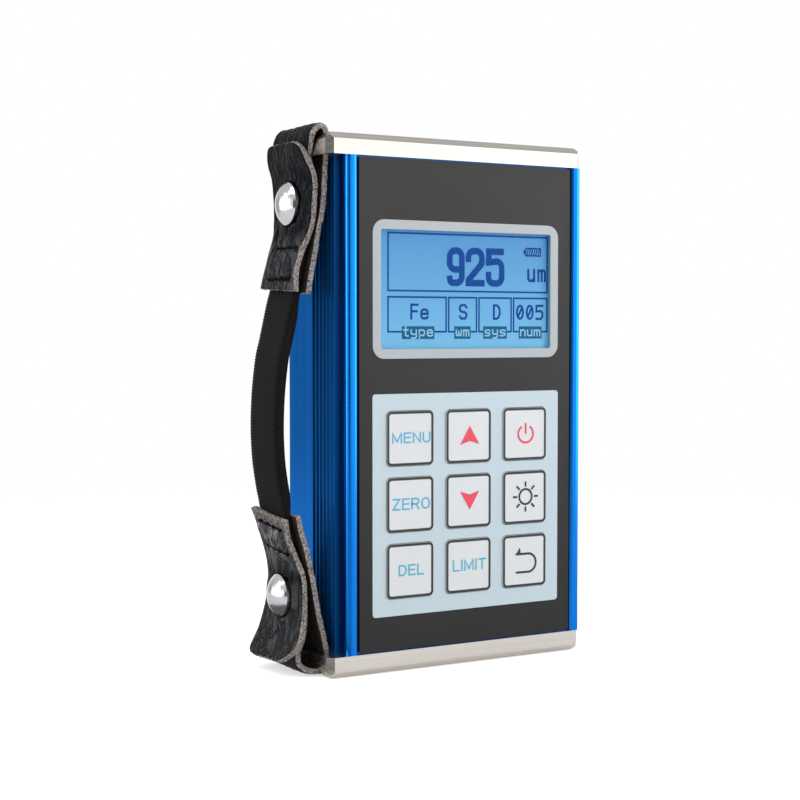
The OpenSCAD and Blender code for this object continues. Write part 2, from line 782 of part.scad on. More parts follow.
// Outline of a tongue in Y and Z: round at the plate, drawn in at the stitching
waist_v = [20, 28, 31];
function tongue_outline(v0, v1, end) = [
    for (p = concat(
        arc(leather_w / 2 - tongue_r, v0 + tongue_r, tongue_r, 0, -90),
        arc(tongue_r - leather_w / 2, v0 + tongue_r, tongue_r, -90, -180),
        [[-leather_w / 2, waist_v[0]], [-waist_w / 2, waist_v[1]], [-waist_w / 2, waist_v[2]],
         [-flare_w / 2, v1], [flare_w / 2, v1], [waist_w / 2, waist_v[2]], [waist_w / 2, waist_v[1]],
         [leather_w / 2, waist_v[0]]]))
    [strap_y + p[0], end * (half_h - p[1])]
];

// Place and thickness of a line at a given v, near its end that the snap goes through
function line_at(line, v) =
    let (k = max([for (i = [0:len(line) - 2]) if ((line[i][1] - v) * (line[i + 1][1] - v) <= 0) i]))
    line[k] + (line[k + 1] - line[k]) * (v - line[k][1]) / (line[k + 1][1] - line[k][1]);
function line_u(line, v) = line_at(line, v)[0];

snap_v_top = 15.6;
snap_v_bottom = 17.85;
stem_d = 3.2;
stem_bore_d = 2;
stud_head_d = 4.2;
stud_head_t = 0.4;
stud_sink = 0.25;

// Slope of the tongue under a snap, and how far the cap stands off its curve
function snap_slope(line, v) = (line_u(line, v + cap_d / 2) - line_u(line, v - cap_d / 2)) / cap_d;
function snap_stand(line, v) =
    max([for (d = [-cap_d / 2:0.5:cap_d / 2]) line_u(line, v + d) - snap_slope(line, v) * d])
    - line_u(line, v);
// Depth of the stud's foot below the middle of the tongue
function stud_foot(tongue_line, loop_line, v) =
    (line_u(loop_line, v) - line_u(tongue_line, v)) * cos(atan(snap_slope(tongue_line, v)))
    - line_at(loop_line, v)[2] / 2 - stud_head_t + stud_sink;

// Places a turned piece at a snap, its axis square to the tongue and pointing outwards
module at_snap(line, v, end) {
    translate([-half_w - line_u(line, v), strap_y, end * (half_h - v)])
    rotate([0, end * atan(snap_slope(line, v)) - 90, 0])
    children();
}

module tongue(line, v, end) {
    difference() {
        intersection() {
            leather_strip(line, end);
            bar(tongue_outline(line[0][1] - 0.6, line[len(line) - 1][1] + 1, end), -half_w - 20, -half_w);
        }
        at_snap(line, v, end)
        translate([0, 0, -2 * leather_t])
        cylinder(h = 4 * leather_t, d = stem_d + 2 * play);
    }
}

// The loop's pared end takes the stud, whose flat head is let into its inner face
module loop(line, tongue_line, v, end) {
    difference() {
        leather_strip(line, end);
        at_snap(tongue_line, v, end)
        translate([0, 0, stud_foot(tongue_line, line, v)]) {
            translate([0, 0, stud_head_t - stud_sink])
            cylinder(h = leather_t, d = stem_d + 2 * play);
            translate([0, 0, stud_head_t - stud_sink - play])
            cylinder(h = stud_sink + 2 * play, d = stud_head_d + 4 * play);
        }
    }
}

module top_strap_tongue() {
    color("#2a2b2e")
    tongue(top_tongue_line, snap_v_top, 1);
}

module bottom_strap_tongue() {
    color("#2a2b2e")
    tongue(bottom_tongue_line, snap_v_bottom, -1);
}

module top_strap_loop() {
    color("#2a2b2e")
    loop(top_loop_line, top_tongue_line, snap_v_top, 1);
}

module bottom_strap_loop() {
    color("#2a2b2e")
    loop(bottom_loop_line, bottom_tongue_line, snap_v_bottom, -1);
}

module elastic_band() {
    color("#141414")
    slab(band(smooth(elastic_line, 4)), strap_y - elastic_w / 2, strap_y + elastic_w / 2);
}

// Domed cap with a rolled rim, on a hollow stem through the tongue
module snap_cap(tongue_line, loop_line, v, end) {
    base = leather_t / 2 + snap_stand(tongue_line, v) + play;
    stem_end = stud_foot(tongue_line, loop_line, v) + stud_head_t + play;
    rim_round = 0.3;
    dome_r = (cap_d * cap_d / 4 + cap_h * cap_h) / (2 * cap_h);
    dome_angle = asin(cap_d / 2 / dome_r);
    dome_steps = arc_steps + 2;
    dome = concat([[0, 0], [cap_d / 2 - rim_round, 0], [cap_d / 2, rim_round], [cap_d / 2, cap_rim]],
        [for (i = [1:dome_steps]) let (a = dome_angle * (1 - i / dome_steps))
            [dome_r * sin(a), cap_rim + cap_h - dome_r * (1 - cos(a))]]);
    color("#dfe1e4")
    at_snap(tongue_line, v, end)
    difference() {
        union() {
            translate([0, 0, base])
            rotate_extrude()
            polygon(dome);
            translate([0, 0, stem_end])
            cylinder(h = base - stem_end + 0.4, d = stem_d);
        }
        translate([0, 0, stem_end - cut])
        cylinder(h = base - stem_end + cut + 0.3, d = stem_bore_d);
    }
}

// Stud with a flat head under the loop's pared end
module snap_stud(tongue_line, loop_line, v, end) {
    foot = stud_foot(tongue_line, loop_line, v);
    color("#b8bac0")
    at_snap(tongue_line, v, end)
    translate([0, 0, foot]) {
        cylinder(h = stud_head_t, d = stud_head_d);
        cylinder(h = leather_t / 2 - foot, d = stem_bore_d - play);
    }
}

module top_snap_cap() { snap_cap(top_tongue_line, top_loop_line, snap_v_top, 1); }
module bottom_snap_cap() { snap_cap(bottom_tongue_line, bottom_loop_line, snap_v_bottom, -1); }
module top_snap_stud() { snap_stud(top_tongue_line, top_loop_line, snap_v_top, 1); }
module bottom_snap_stud() { snap_stud(bottom_tongue_line, bottom_loop_line, snap_v_bottom, -1); }

// The strap's outermost and lowest points set where the whole object stands
strap_reach = max([for (p = concat(band(smooth(elastic_line, 4)),
    leather_outline(top_tongue_line, 1), leather_outline(bottom_tongue_line, -1))) -p[0]]);
loop_drop = max([for (p = leather_outline(bottom_loop_line, -1)) -p[1]]);

module placed() {
    translate([(strap_reach - half_w) / 2, body_d / 2, max(loop_drop, half_h)])
    children();
}

placed() housing();
placed() top_end_plate();
placed() bottom_end_plate();
placed() top_plate_screws();
placed() bottom_plate_screws();
placed() front_panel();
placed() display_border();
placed() display_window();
placed() lcd_panel();
placed() lcd_backlight();
placed() keypad_frame();
placed() key_menu();
placed() key_up();
placed() key_power();
placed() key_zero();
placed() key_down();
placed() key_light();
placed() key_delete();
placed() key_limit();
placed() key_back();
placed() key_domes();
placed() main_board();
placed() processor_chip();
placed() amplifier_shield();
placed() buzzer();
placed() socket_shell();
placed() socket_insert();
placed() socket_contacts();
placed() socket_nut();
placed() battery_tray();
placed() battery_cells();
placed() battery_contacts();
placed() battery_door();
placed() elastic_band();
placed() top_strap_tongue();
placed() bottom_strap_tongue();
placed() top_strap_loop();
placed() bottom_strap_loop();
placed() top_snap_cap();
placed() bottom_snap_cap();
placed() top_snap_stud();
placed() bottom_snap_stud();
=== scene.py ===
# %% [markdown]
# # A coating thickness gauge, dressed for the studio
# The solid pieces arrive from the drawing as a frame: housing, plates, keys, snaps. This lesson gives each
# of them a finish, makes the soft hand strap from strips and threads, prints the keys and the display, and
# sets up a plain studio to look at it all.

# %% Load the frame
import json
import math
import bpy
import numpy as np
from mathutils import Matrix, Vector


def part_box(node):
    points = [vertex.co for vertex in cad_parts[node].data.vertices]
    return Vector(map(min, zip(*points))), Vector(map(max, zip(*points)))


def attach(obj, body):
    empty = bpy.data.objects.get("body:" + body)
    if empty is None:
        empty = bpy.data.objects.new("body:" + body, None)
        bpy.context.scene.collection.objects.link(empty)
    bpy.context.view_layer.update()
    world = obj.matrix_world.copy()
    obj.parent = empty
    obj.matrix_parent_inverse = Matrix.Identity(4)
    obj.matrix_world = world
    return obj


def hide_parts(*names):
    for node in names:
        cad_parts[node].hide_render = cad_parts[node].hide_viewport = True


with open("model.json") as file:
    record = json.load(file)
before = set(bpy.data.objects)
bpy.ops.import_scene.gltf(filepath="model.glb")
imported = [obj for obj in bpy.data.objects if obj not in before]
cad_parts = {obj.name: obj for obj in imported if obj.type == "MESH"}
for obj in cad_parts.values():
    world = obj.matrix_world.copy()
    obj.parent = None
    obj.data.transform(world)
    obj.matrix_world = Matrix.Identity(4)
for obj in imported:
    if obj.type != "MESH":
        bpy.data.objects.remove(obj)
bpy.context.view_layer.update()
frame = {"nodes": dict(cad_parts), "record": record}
nodes_cad = frame["nodes"]

# %% [markdown]
# ## One ruler for everything
# All sizes below are millimetres in the maker's own axes: x from the middle of the housing, y from its rear
# face (the front is negative), z from half its height. One small function turns them into the metres of the
# frame, so a finish, a print or a strip can be placed with the same numbers as on a workbench.

# %% Millimetres from the housing's own middle
housing_low, housing_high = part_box("housing")
datum = Vector(((housing_low.x + housing_high.x) / 2, housing_high.y, (housing_low.z + housing_high.z) / 2))


def place(x, y, z):
    return (datum.x + x / 1000, datum.y + y / 1000, datum.z + z / 1000)


print("datum in mm:", [round(1000 * c, 3) for c in datum])

# %% [markdown]
# ## Building meshes
# Every soft or printed piece is a list of points and faces. This helper makes the mesh, gives each face its
# finish and lets the piece ride on a body of the frame.


# %% A piece from points and faces
def piece(name, points, faces, materials, body="gauge", picks=None, smooth=False):
    mesh = bpy.data.meshes.new(name)
    mesh.from_pydata([place(*p) for p in points], [], faces)
    for m in materials:
        mesh.materials.append(m)
    if picks is not None:
        mesh.polygons.foreach_set("material_index", picks)
    mesh.polygons.foreach_set("use_smooth", [smooth] * len(mesh.polygons))
    mesh.update()
    obj = bpy.data.objects.new(name, mesh)
    bpy.context.scene.collection.objects.link(obj)
    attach(obj, body)
    return obj


# %% [markdown]
# ## Writing finishes
# A finish is a small graph of nodes that ends in one Principled shader. Small helpers keep the graphs short:
# they turn screen colours into light, add a node with its settings, start a material, read a place on the
# object and do sums.


# %% Starting a material and adding nodes
def light(r, g, b):
    shares = [c / 255 for c in (r, g, b)]
    return tuple(s / 12.92 if s <= 0.04 else ((s + 0.055) / 1.055) ** 2.4 for s in shares) + (1.0,)


def add(tree, kind, inputs=None, **settings):
    n = tree.nodes.new(kind)
    for key, value in settings.items():
        setattr(n, key, value)
    for key, value in (inputs or {}).items():
        if isinstance(value, bpy.types.NodeSocket):
            tree.links.new(value, n.inputs[key])
        else:
            n.inputs[key].default_value = value
    return n


def start(name, **values):
    mat = bpy.data.materials.new(name)
    mat.use_nodes = True
    tree = mat.node_tree
    shader = tree.nodes["Principled BSDF"]
    for key, value in values.items():
        shader.inputs[key.replace("_", " ")].default_value = value
    return mat, tree, shader


def position(tree, scale=(1, 1, 1)):
    where = add(tree, "ShaderNodeTexCoord").outputs["Object"]
    return add(tree, "ShaderNodeMapping", {"Vector": where, "Scale": scale}).outputs["Vector"]


def axis(tree, letter):
    return add(tree, "ShaderNodeSeparateXYZ", {"Vector": position(tree)}).outputs[letter]


def calc(tree, operation, a, b=0.0):
    return add(tree, "ShaderNodeMath", {0: a, 1: b}, operation=operation).outputs[0]


# %% [markdown]
# ## Two effects that several finishes share
# Moulded and printed surfaces are never quite even, so a soft mottling varies their sheen. Drawn and brushed
# metal has long thin streaks along one direction. Each effect is a node group with a mask as its output.


# %% Mottling and streaks as node groups
def group(name, sockets_in, sockets_out):
    g = bpy.data.node_groups.new(name, "ShaderNodeTree")
    for label, kind, value in sockets_in:
        s = g.interface.new_socket(label, in_out="INPUT", socket_type=kind)
        s.default_value = value
    for label, kind in sockets_out:
        g.interface.new_socket(label, in_out="OUTPUT", socket_type=kind)
    return g, g.nodes.new("NodeGroupInput"), g.nodes.new("NodeGroupOutput")


mottle, m_in, m_out = group("mottling", [("Scale", "NodeSocketFloat", 900.0)],
                            [("Mask", "NodeSocketFloat"), ("Fine", "NodeSocketFloat")])
m_place = add(mottle, "ShaderNodeTexCoord").outputs["Object"]
m_wide = add(mottle, "ShaderNodeTexNoise", {"Vector": m_place, "Scale": 45.0, "Detail": 3.0})
m_fine = add(mottle, "ShaderNodeTexNoise", {"Vector": m_place, "Scale": m_in.outputs["Scale"], "Detail": 2.0})
m_sum = calc(mottle, "ADD", m_wide.outputs["Fac"], m_fine.outputs["Fac"])
mottle.links.new(calc(mottle, "MULTIPLY", m_sum, 0.5), m_out.inputs["Mask"])
mottle.links.new(m_fine.outputs["Fac"], m_out.inputs["Fine"])

streaks, s_in, s_out = group("streaks", [("Stretch", "NodeSocketVector", (6.0, 900.0, 900.0))],
                             [("Mask", "NodeSocketFloat")])
s_place = add(streaks, "ShaderNodeTexCoord").outputs["Object"]
s_map = add(streaks, "ShaderNodeVectorMath", {0: s_place, 1: s_in.outputs["Stretch"]}, operation="MULTIPLY")
s_noise = add(streaks, "ShaderNodeTexNoise", {"Vector": s_map.outputs[0], "Scale": 1.0, "Detail": 4.0,
                                              "Roughness": 0.7})
streaks.links.new(s_noise.outputs["Fac"], s_out.inputs["Mask"])


def use(tree, shared, **inputs):
    n = tree.nodes.new("ShaderNodeGroup")
    n.node_tree = shared
    for key, value in inputs.items():
        n.inputs[key].default_value = value
    return n


def between(tree, mask, low, high, mask_low=0.3, mask_high=0.7):
    return add(tree, "ShaderNodeMapRange", {"Value": mask, "From Min": mask_low, "From Max": mask_high,
                                            "To Min": low, "To Max": high}).outputs["Result"]


def by_height(tree, z_low, z_high, low=0.0, high=1.0):
    return between(tree, axis(tree, "Z"), low, high, place(0, 0, z_low)[2], place(0, 0, z_high)[2])


def tint(tree, mask, dark, pale):
    n = add(tree, "ShaderNodeMix", data_type="RGBA")
    tree.links.new(mask, n.inputs["Factor"])
    n.inputs["A"].default_value = dark
    n.inputs["B"].default_value = pale
    return n.outputs["Result"]


def bump(tree, shader, height, strength, distance=0.0002):
    n = add(tree, "ShaderNodeBump", {"Height": height, "Strength": strength, "Distance": distance})
    tree.links.new(n.outputs["Normal"], shader.inputs["Normal"])


# %% [markdown]
# ## Moulded and printed surfaces
# Plastic, film and paint differ in colour, sheen and how fine their texture is. The same recipe serves them
# all: a colour that drifts a little, a roughness that follows the mottling and a faint bump.


# %% Plastics, paints and films
def moulded(name, rgb, rough, drift=0.06, scale=900.0, relief=0.08, **values):
    mat, tree, shader = start(name, **values)
    m = use(tree, mottle, Scale=scale)
    base = light(*rgb)
    dark = tuple(c * (1 - drift) for c in base[:3]) + (1,)
    pale = tuple(min(1, c * (1 + drift)) for c in base[:3]) + (1,)
    tree.links.new(tint(tree, m.outputs["Mask"], dark, pale), shader.inputs["Base Color"])
    tree.links.new(between(tree, m.outputs["Mask"], rough - 0.05, rough + 0.05), shader.inputs["Roughness"])
    bump(tree, shader, m.outputs["Fine"], relief, 0.00005)
    return mat


finish = {}
for name, rgb, rough, more in (
        ("border_grey", (174, 180, 184), 0.42, {}),
        ("keypad_pale", (192, 209, 217), 0.45, {"scale": 1500}),
        ("key_white", (217, 220, 222), 0.4, {"scale": 1500}),
        ("backlight_white", (240, 242, 245), 0.5, {}),
        ("board_green", (22, 84, 52), 0.4, {"drift": 0.15, "scale": 400, "Coat_Weight": 0.3}),
        ("chip_black", (28, 28, 30), 0.5, {}),
        ("tray_black", (30, 31, 33), 0.55, {"scale": 1300, "relief": 0.2}),
        ("door_black", (34, 35, 37), 0.55, {"scale": 1300, "relief": 0.25}),
        ("cell_jacket", (38, 92, 70), 0.3, {"Coat_Weight": 0.4})):
    finish[name] = moulded(name, rgb, rough, **more)
print("moulded finishes:", len(finish))

# %% [markdown]
# ## Metals
# The housing is extruded and anodised: a blue dye under a clear oxide, with streaks along the extrusion. The
# end plates are brushed along their length. Chrome on the snaps is close to a mirror, the socket and screws
# are duller, and the contacts are plated.


# %% Metals with streaks
def metal(name, dark, pale, rough, stretch, spread, relief, **values):
    mat, tree, shader = start(name, Metallic=1.0, **values)
    mask = use(tree, streaks, Stretch=stretch).outputs["Mask"]
    tree.links.new(tint(tree, mask, light(*dark), light(*pale)), shader.inputs["Base Color"])
    tree.links.new(between(tree, mask, rough - spread, rough + spread), shader.inputs["Roughness"])
    bump(tree, shader, mask, relief, 0.00003)
    return mat


extruded = {"stretch": (1400, 1400, 8), "spread": 0.05, "relief": 0.04, "Specular_Tint": (0.6, 0.75, 1, 1)}
finish["blue_anodised"] = metal("blue_anodised", (14, 112, 208), (28, 132, 230), 0.24, **extruded)
# Darker than the anodised blue: painted shade for the recesses, with a higher roughness of their own
recess_blue_painted_shade = metal("blue_recess_painted_shade", (14, 80, 144), (24, 96, 168), 0.42, **extruded)
for name, dark, pale, rough, stretch, spread, relief in (
        ("end_plate_metal", (208, 201, 193), (234, 228, 221), 0.24, (10, 1600, 4200), 0.06, 0.03),
        ("screw_steel", (186, 188, 192), (214, 216, 220), 0.28, (300, 300, 300), 0.06, 0.05),
        ("socket_metal", (190, 192, 194), (216, 217, 218), 0.3, (300, 300, 900), 0.06, 0.05),
        ("contact_gold", (214, 170, 92), (236, 196, 120), 0.25, (500, 500, 500), 0.05, 0.05),
        ("contact_steel", (180, 182, 186), (210, 212, 215), 0.3, (500, 500, 500), 0.06, 0.05),
        ("snap_chrome", (226, 227, 230), (240, 240, 242), 0.15, (260, 260, 260), 0.03, 0.01)):
    finish[name] = metal(name, dark, pale, rough, stretch, spread, relief)
print("finishes so far:", len(finish))

# %% [markdown]
# ## The dark front panel
# The panel is a painted sheet. Its colour is made a little paler towards the top as a painted reflection of
# the soft light that it mirrors there, and a fine grain breaks up its sheen.

# %% Panel paint with a painted sheen
finish["panel_dark"], tree, shader = start("panel_dark", Specular_IOR_Level=0.35)
# Darker towards the bottom, paler towards the top: a painted reflection of the soft light
panel_colour_with_painted_sheen = tint(tree, by_height(tree, -57, 57), light(24, 24, 25), light(45, 44, 43))
tree.links.new(panel_colour_with_painted_sheen, shader.inputs["Base Color"])
m = use(tree, mottle, Scale=2600.0)
tree.links.new(between(tree, m.outputs["Mask"], 0.52, 0.64), shader.inputs["Roughness"])
bump(tree, shader, m.outputs["Fine"], 0.25, 0.00004)

# %% [markdown]
# ## The lit display
# Behind the window a liquid crystal cell is lit from its edges, so its blue is paler towards the bottom. The
# cell glows by itself: part of its colour is emission. The window over it lets nearly all light through and
# only mirrors a little at a flat angle, which the Fresnel node decides.


# %% Display cell and window
def blend(tree, share, a, b):
    return add(tree, "ShaderNodeMixShader", {0: share, 1: a, 2: b}).outputs[0]


finish["lcd_blue"], tree, shader = start("lcd_blue", Roughness=0.5, Emission_Strength=0.3)
glow = tint(tree, by_height(tree, 13, 41), light(101, 172, 211), light(60, 133, 188))
tree.links.new(glow, shader.inputs["Base Color"])
tree.links.new(glow, shader.inputs["Emission Color"])

finish["window_clear"], tree, shader = start("window_clear", Base_Color=(1, 1, 1, 1))
smear = use(tree, mottle, Scale=300.0).outputs["Mask"]
tree.links.new(between(tree, smear, 0.03, 0.08), shader.inputs["Roughness"])
clear = add(tree, "ShaderNodeBsdfTransparent").outputs[0]
edge = add(tree, "ShaderNodeFresnel", {"IOR": 1.12}).outputs["Fac"]
tree.links.new(blend(tree, edge, clear, shader.outputs[0]), tree.nodes["Material Output"].inputs["Surface"])

# %% [markdown]
# ## Leather and elastic
# The strap's leather is black with a long wrinkled grain that runs down the strip. Its cut edges show the
# grey-brown fibres of the hide, and its inner face is the matt flesh side. A paler colour is painted on the
# sewn pockets and the bottom flap as painted highlight, and the top end shines least. The elastic is woven:
# fine ribs run across it, with a dull sheen on their crests.


# %% The hide's grain side
def ramp(node, stops):
    marks = node.color_ramp.elements
    while len(marks) < len(stops):
        marks.new(0.5)
    for mark, (at, grey) in zip(marks, stops):
        mark.position = at
        mark.color = (grey, grey, grey, 1)


leather_grain, tree, shader = start("leather_grain", Specular_Tint=(0.8, 0.9, 1, 1))
long_folds = position(tree, (520, 520, 130))
folds = add(tree, "ShaderNodeTexNoise", {"Vector": long_folds, "Scale": 1.0, "Detail": 3.0, "Roughness": 0.6,
                                         "Distortion": 0.4})
crack = calc(tree, "ABSOLUTE", calc(tree, "SUBTRACT", folds.outputs["Fac"], 0.5))
plateau = between(tree, crack, 0, 1, 0.0, 0.1)
fine_grain = position(tree, (1700, 1700, 900))
pebble = add(tree, "ShaderNodeTexVoronoi", {"Vector": fine_grain, "Scale": 1.0}, feature="DISTANCE_TO_EDGE")
relief = calc(tree, "ADD", plateau, calc(tree, "MULTIPLY", pebble.outputs["Distance"], 0.3))
bump(tree, shader, relief, 1.0, 0.0008)

# %% Painted highlights on the hide
# Bands of paler grey painted at the bottom flap and at both sewn pockets: painted highlight
painted_highlight_bands = add(tree, "ShaderNodeValToRGB", {"Fac": by_height(tree, -50, 50)})
ramp(painted_highlight_bands, [(0, 0.16), (0.06, 0.12), (0.1, 0), (0.2, 0.8), (0.28, 1), (0.34, 0.3), (0.4, 0), (0.74, 0),
              (0.78, 0.25), (0.86, 0.25), (0.9, 0)])
wear_and_painted_highlight = add(tree, "ShaderNodeMix", {"Factor": painted_highlight_bands.outputs["Color"]}, data_type="RGBA")
# Valleys darker and plateaus paler: the grain's own tone, partly painted shade in the valleys and painted
# highlight on the plateaus
tree.links.new(tint(tree, plateau, light(2, 3, 6), light(10, 13, 19)), wear_and_painted_highlight.inputs["A"])
tree.links.new(tint(tree, plateau, light(86, 86, 88), light(148, 148, 151)), wear_and_painted_highlight.inputs["B"])
tree.links.new(wear_and_painted_highlight.outputs["Result"], shader.inputs["Base Color"])
tree.links.new(between(tree, plateau, 0.5, 0.27, 0, 1), shader.inputs["Roughness"])
tree.links.new(by_height(tree, 35, 55, 0.16, 0.1), shader.inputs["Specular IOR Level"])
finish["leather_black"] = leather_grain


# %% Cut edge, flesh side and thread
def fibrous(name, dark, pale, scale, relief):
    mat, tree, shader = start(name, Roughness=0.9, Specular_IOR_Level=0.2)
    where = position(tree, (scale, scale, scale))
    fuzz = add(tree, "ShaderNodeTexNoise", {"Vector": where, "Scale": 1.0, "Detail": 5.0, "Roughness": 0.75})
    fibres = between(tree, fuzz.outputs["Fac"], 0, 1, 0.36, 0.64)
    tree.links.new(tint(tree, fibres, light(*dark), light(*pale)), shader.inputs["Base Color"])
    bump(tree, shader, fuzz.outputs["Fac"], relief, 0.0003)
    return mat


leather_edge = fibrous("leather_edge", (40, 36, 34), (214, 204, 197), 2100, 1.0)
leather_pared = fibrous("leather_pared", (42, 39, 37), (146, 139, 134), 2100, 0.7)
leather_flesh = fibrous("leather_flesh", (20, 18, 17), (56, 51, 47), 1200, 0.6)
thread = fibrous("thread_black", (3, 3, 4), (16, 16, 17), 2500, 0.5)

# %% Woven elastic
elastic_woven, tree, shader = start("elastic_black", Roughness=0.8, Specular_IOR_Level=0.14,
                                    Sheen_Weight=0.03)
yarns = position(tree, (300, 2600, 2600))
weave = add(tree, "ShaderNodeTexNoise", {"Vector": yarns, "Scale": 1.0, "Detail": 3.0}).outputs["Fac"]
tree.links.new(tint(tree, weave, light(2, 2, 3), light(11, 11, 12)), shader.inputs["Base Color"])
bump(tree, shader, weave, 0.4, 0.0001)
finish["elastic_black"] = elastic_woven
elastic_edge = fibrous("elastic_edge", (7, 6, 6), (30, 25, 21), 1800, 0.4)
print("finishes in all:", len(finish))

# %% [markdown]
# ## Dressing the solid pieces
# Each piece of the frame names the finish that its record asks for. Round pieces are shaded smooth, with
# their sharp edges kept, so that the drawing's facets do not show. The bottoms of the housing's grooves and
# channels are rougher than its polished lands, and their blue is painted darker as painted shade.

# %% Finishes onto the frame
slot_of = {part["node"]: part["material_slot"] for part in frame["record"]["subparts"]}
cap_angle, edge_angle = 75, 28
for name, obj in nodes_cad.items():
    sharp_from = cap_angle if name.endswith("snap_cap") else edge_angle
    obj.data.materials.clear()
    obj.data.materials.append(finish[slot_of[name]])
    obj.data.shade_smooth()
    obj.data.set_sharp_from_angle(angle=math.radians(sharp_from))

# %% Rougher blue with painted shade in the housing's recesses
recess_x, recess_y = (31.4, 32.98), (-29.05, -13.35)
tube_mesh = nodes_cad["housing"].data
tube_mesh.materials.append(recess_blue_painted_shade)
for face in tube_mesh.polygons:
    spot = (nodes_cad["housing"].matrix_world @ face.center - datum) * 1000
    sunk = recess_x[0] < abs(spot.x) < recess_x[1] and recess_y[0] < spot.y < recess_y[1]
    if sunk and abs(face.normal.z) < 0.5:
        face.material_index = 1
print("recessed faces:", sum(face.material_index for face in tube_mesh.polygons))

# %% [markdown]
# ## Curves for the strap
# A strip is drawn by its middle line in two numbers: u, how far out from the housing's side, and v, how far
# in from the end plate. A third number, where a point has one, is the thickness there. A smooth curve goes
# through the points and is cut into even steps, and each step gets a square direction that points out of the
# leather's grain side.

# %% Smooth lines
side_x = -33.0
strap_y = -15.5
half_height = 62.5


def smooth_line(points, step, t):
    p = np.array([list(q) + [t] if len(q) == 2 else list(q) for q in points], float)
    full = [p[0]]
    for i in range(len(p) - 1):
        a, b, c, d = p[max(i - 1, 0)], p[i], p[i + 1], p[min(i + 2, len(p) - 1)]
        for s in np.linspace(0, 1, 13)[1:]:
            full.append(0.5 * (2 * b + (c - a) * s + (2 * a - 5 * b + 4 * c - d) * s**2
                               + (3 * b - a - 3 * c + d) * s**3))
    full = np.array(full)
    run = np.concatenate([[0], np.cumsum(np.linalg.norm(np.diff(full[:, :2], axis=0), axis=1))])
    even = np.linspace(0, run[-1], int(run[-1] / step) + 2)
    line = np.array([np.interp(even, run, full[:, k]) for k in range(3)]).T
    along = np.gradient(line[:, :2], axis=0)
    along /= np.linalg.norm(along, axis=1)[:, None]
    return line, np.stack([along[:, 1], -along[:, 0]], axis=1)


# %% [markdown]
# ## A strip with two faces and cut edges
# The strip is a grid: rows along its line, columns across its width. Each grid point is lifted to both sides
# by half the thickness, plus a small height that forms folds, seams and puffs. The rims are closed by walls,
# which take the finish of the cut edge, and the grain side is drawn in a little at the rim as a worn edge is.


# %% Points of a strip
def no_shift(v, w):
    return 0 * w


def strip_layers(line, normal, end, front, rear, height, lean, slant, columns, wall_rows, rim):
    rows = len(line)
    q = np.linspace(-1, 1, columns + 1)[None, :]
    w = np.where(q < 0, q * front(line[:, 1])[:, None], q * rear(line[:, 1])[:, None])
    v = np.repeat(line[:, 1:2], columns + 1, 1)
    u = line[:, 0:1] + lean(v, w)
    lift = height(v, w)
    v = v + slant(v, w)
    half = line[:, 2:3] / 2
    step = np.hypot(*(line[1, :2] - line[0, :2]))
    to_side = np.minimum(w - w[:, :1], w[:, -1:] - w)
    to_end = np.minimum(np.arange(rows), np.arange(rows)[::-1])[:, None] * step
    wear_and_painted_highlight = np.clip(1 - np.minimum(to_side, to_end) / rim, 0, 1) ** 2
    out = half * (1 - 0.3 * wear_and_painted_highlight) + lift
    back = -half + 0.2 * lift
    layers = []
    for k in np.linspace(0, 1, wall_rows + 1):
        d = out * (1 - k) + back * k
        pu, pv = u + normal[:, 0:1] * d, v + normal[:, 1:2] * d
        layers.append(np.stack([side_x - pu, strap_y + w, end * (half_height - pv)], axis=2))
    return layers


# %% Strip builder
grain_side, flesh_side, cut_edge, pared_hem = range(4)


def strip(name, line, normal, end, front, rear, height, materials, lean=no_shift, slant=no_shift,
          columns=64, wall_rows=4, rim=0.5, rough_edge=0.13, seed=1, pared=math.inf):
    rng = np.random.default_rng(seed)
    layers = strip_layers(line, normal, end, front, rear, height, lean, slant, columns, wall_rows, rim)
    rows, wide = len(line), columns + 1
    border = ([(i, 0) for i in range(rows)] + [(rows - 1, j) for j in range(1, wide)]
              + [(i, wide - 1) for i in range(rows - 2, -1, -1)] + [(0, j) for j in range(wide - 2, 0, -1)])
    verts = [layers[0].reshape(-1, 3), layers[-1].reshape(-1, 3)]
    at = 2 * rows * wide
    levels = [[i * wide + j for i, j in border]]
    for layer in layers[1:-1]:
        fray = rng.normal(0, rough_edge, (len(border), 3)) * [0.6, 1, 1]
        verts.append(np.array([layer[i, j] for i, j in border]) + fray)
        levels.append(list(range(at, at + len(border))))
        at += len(border)
    levels.append([rows * wide + i * wide + j for i, j in border])

    faces, picks = [], []
    for i in range(rows - 1):
        for j in range(columns):
            a = i * wide + j
            quad = (a, a + 1, a + wide + 1, a + wide)
            faces += [quad, tuple(rows * wide + k for k in quad[::-1])]
            picks += [pared_hem if line[i, 1] > pared else grain_side, flesh_side]
    for a, b in zip(levels, levels[1:]):
        for k in range(len(border)):
            n = (k + 1) % len(border)
            faces.append((a[k], a[n], b[n], b[k]))
            picks.append(cut_edge)
    if end < 0:
        faces = [quad[::-1] for quad in faces]
    print(name, "faces", len(faces))
    return piece(name, np.concatenate(verts), faces, materials, picks=picks, smooth=True)


# %% [markdown]
# ## Tongues
# Each outer tongue is round at the plate and drawn in where it is sewn to the elastic. Two cross seams sink
# into the leather; between them it puffs up, and it gathers into short folds on both sides of each seam.
# Round the snap cap the leather swells a little. The bottom tongue flares off the plate on its rear side, its
# seams run aslant like its hem, and the hem is pared so that the hide's fibres show.

# %% Widths, stitch holes and seams
hide = [leather_grain, leather_flesh, leather_edge, leather_pared]
leather_t = 1.5
strap_half = 9.45
tongue_step = 0.28
stitch_pitch = 1.5
cap_r, swell_r, swell = 5.05, 8.5, 0.65


def half_width(v_end, r, table):
    vs, ws = zip(*table)

    def at(v):
        d = np.clip((v_end + r - v) / r, 0, 1)
        return np.minimum(strap_half - r + r * np.sqrt(1 - d**2), np.interp(v, vs, ws))
    return at


def holes(sides):
    front, rear = sides
    return np.linspace(front, rear, int((rear - front) / stitch_pitch) + 1)


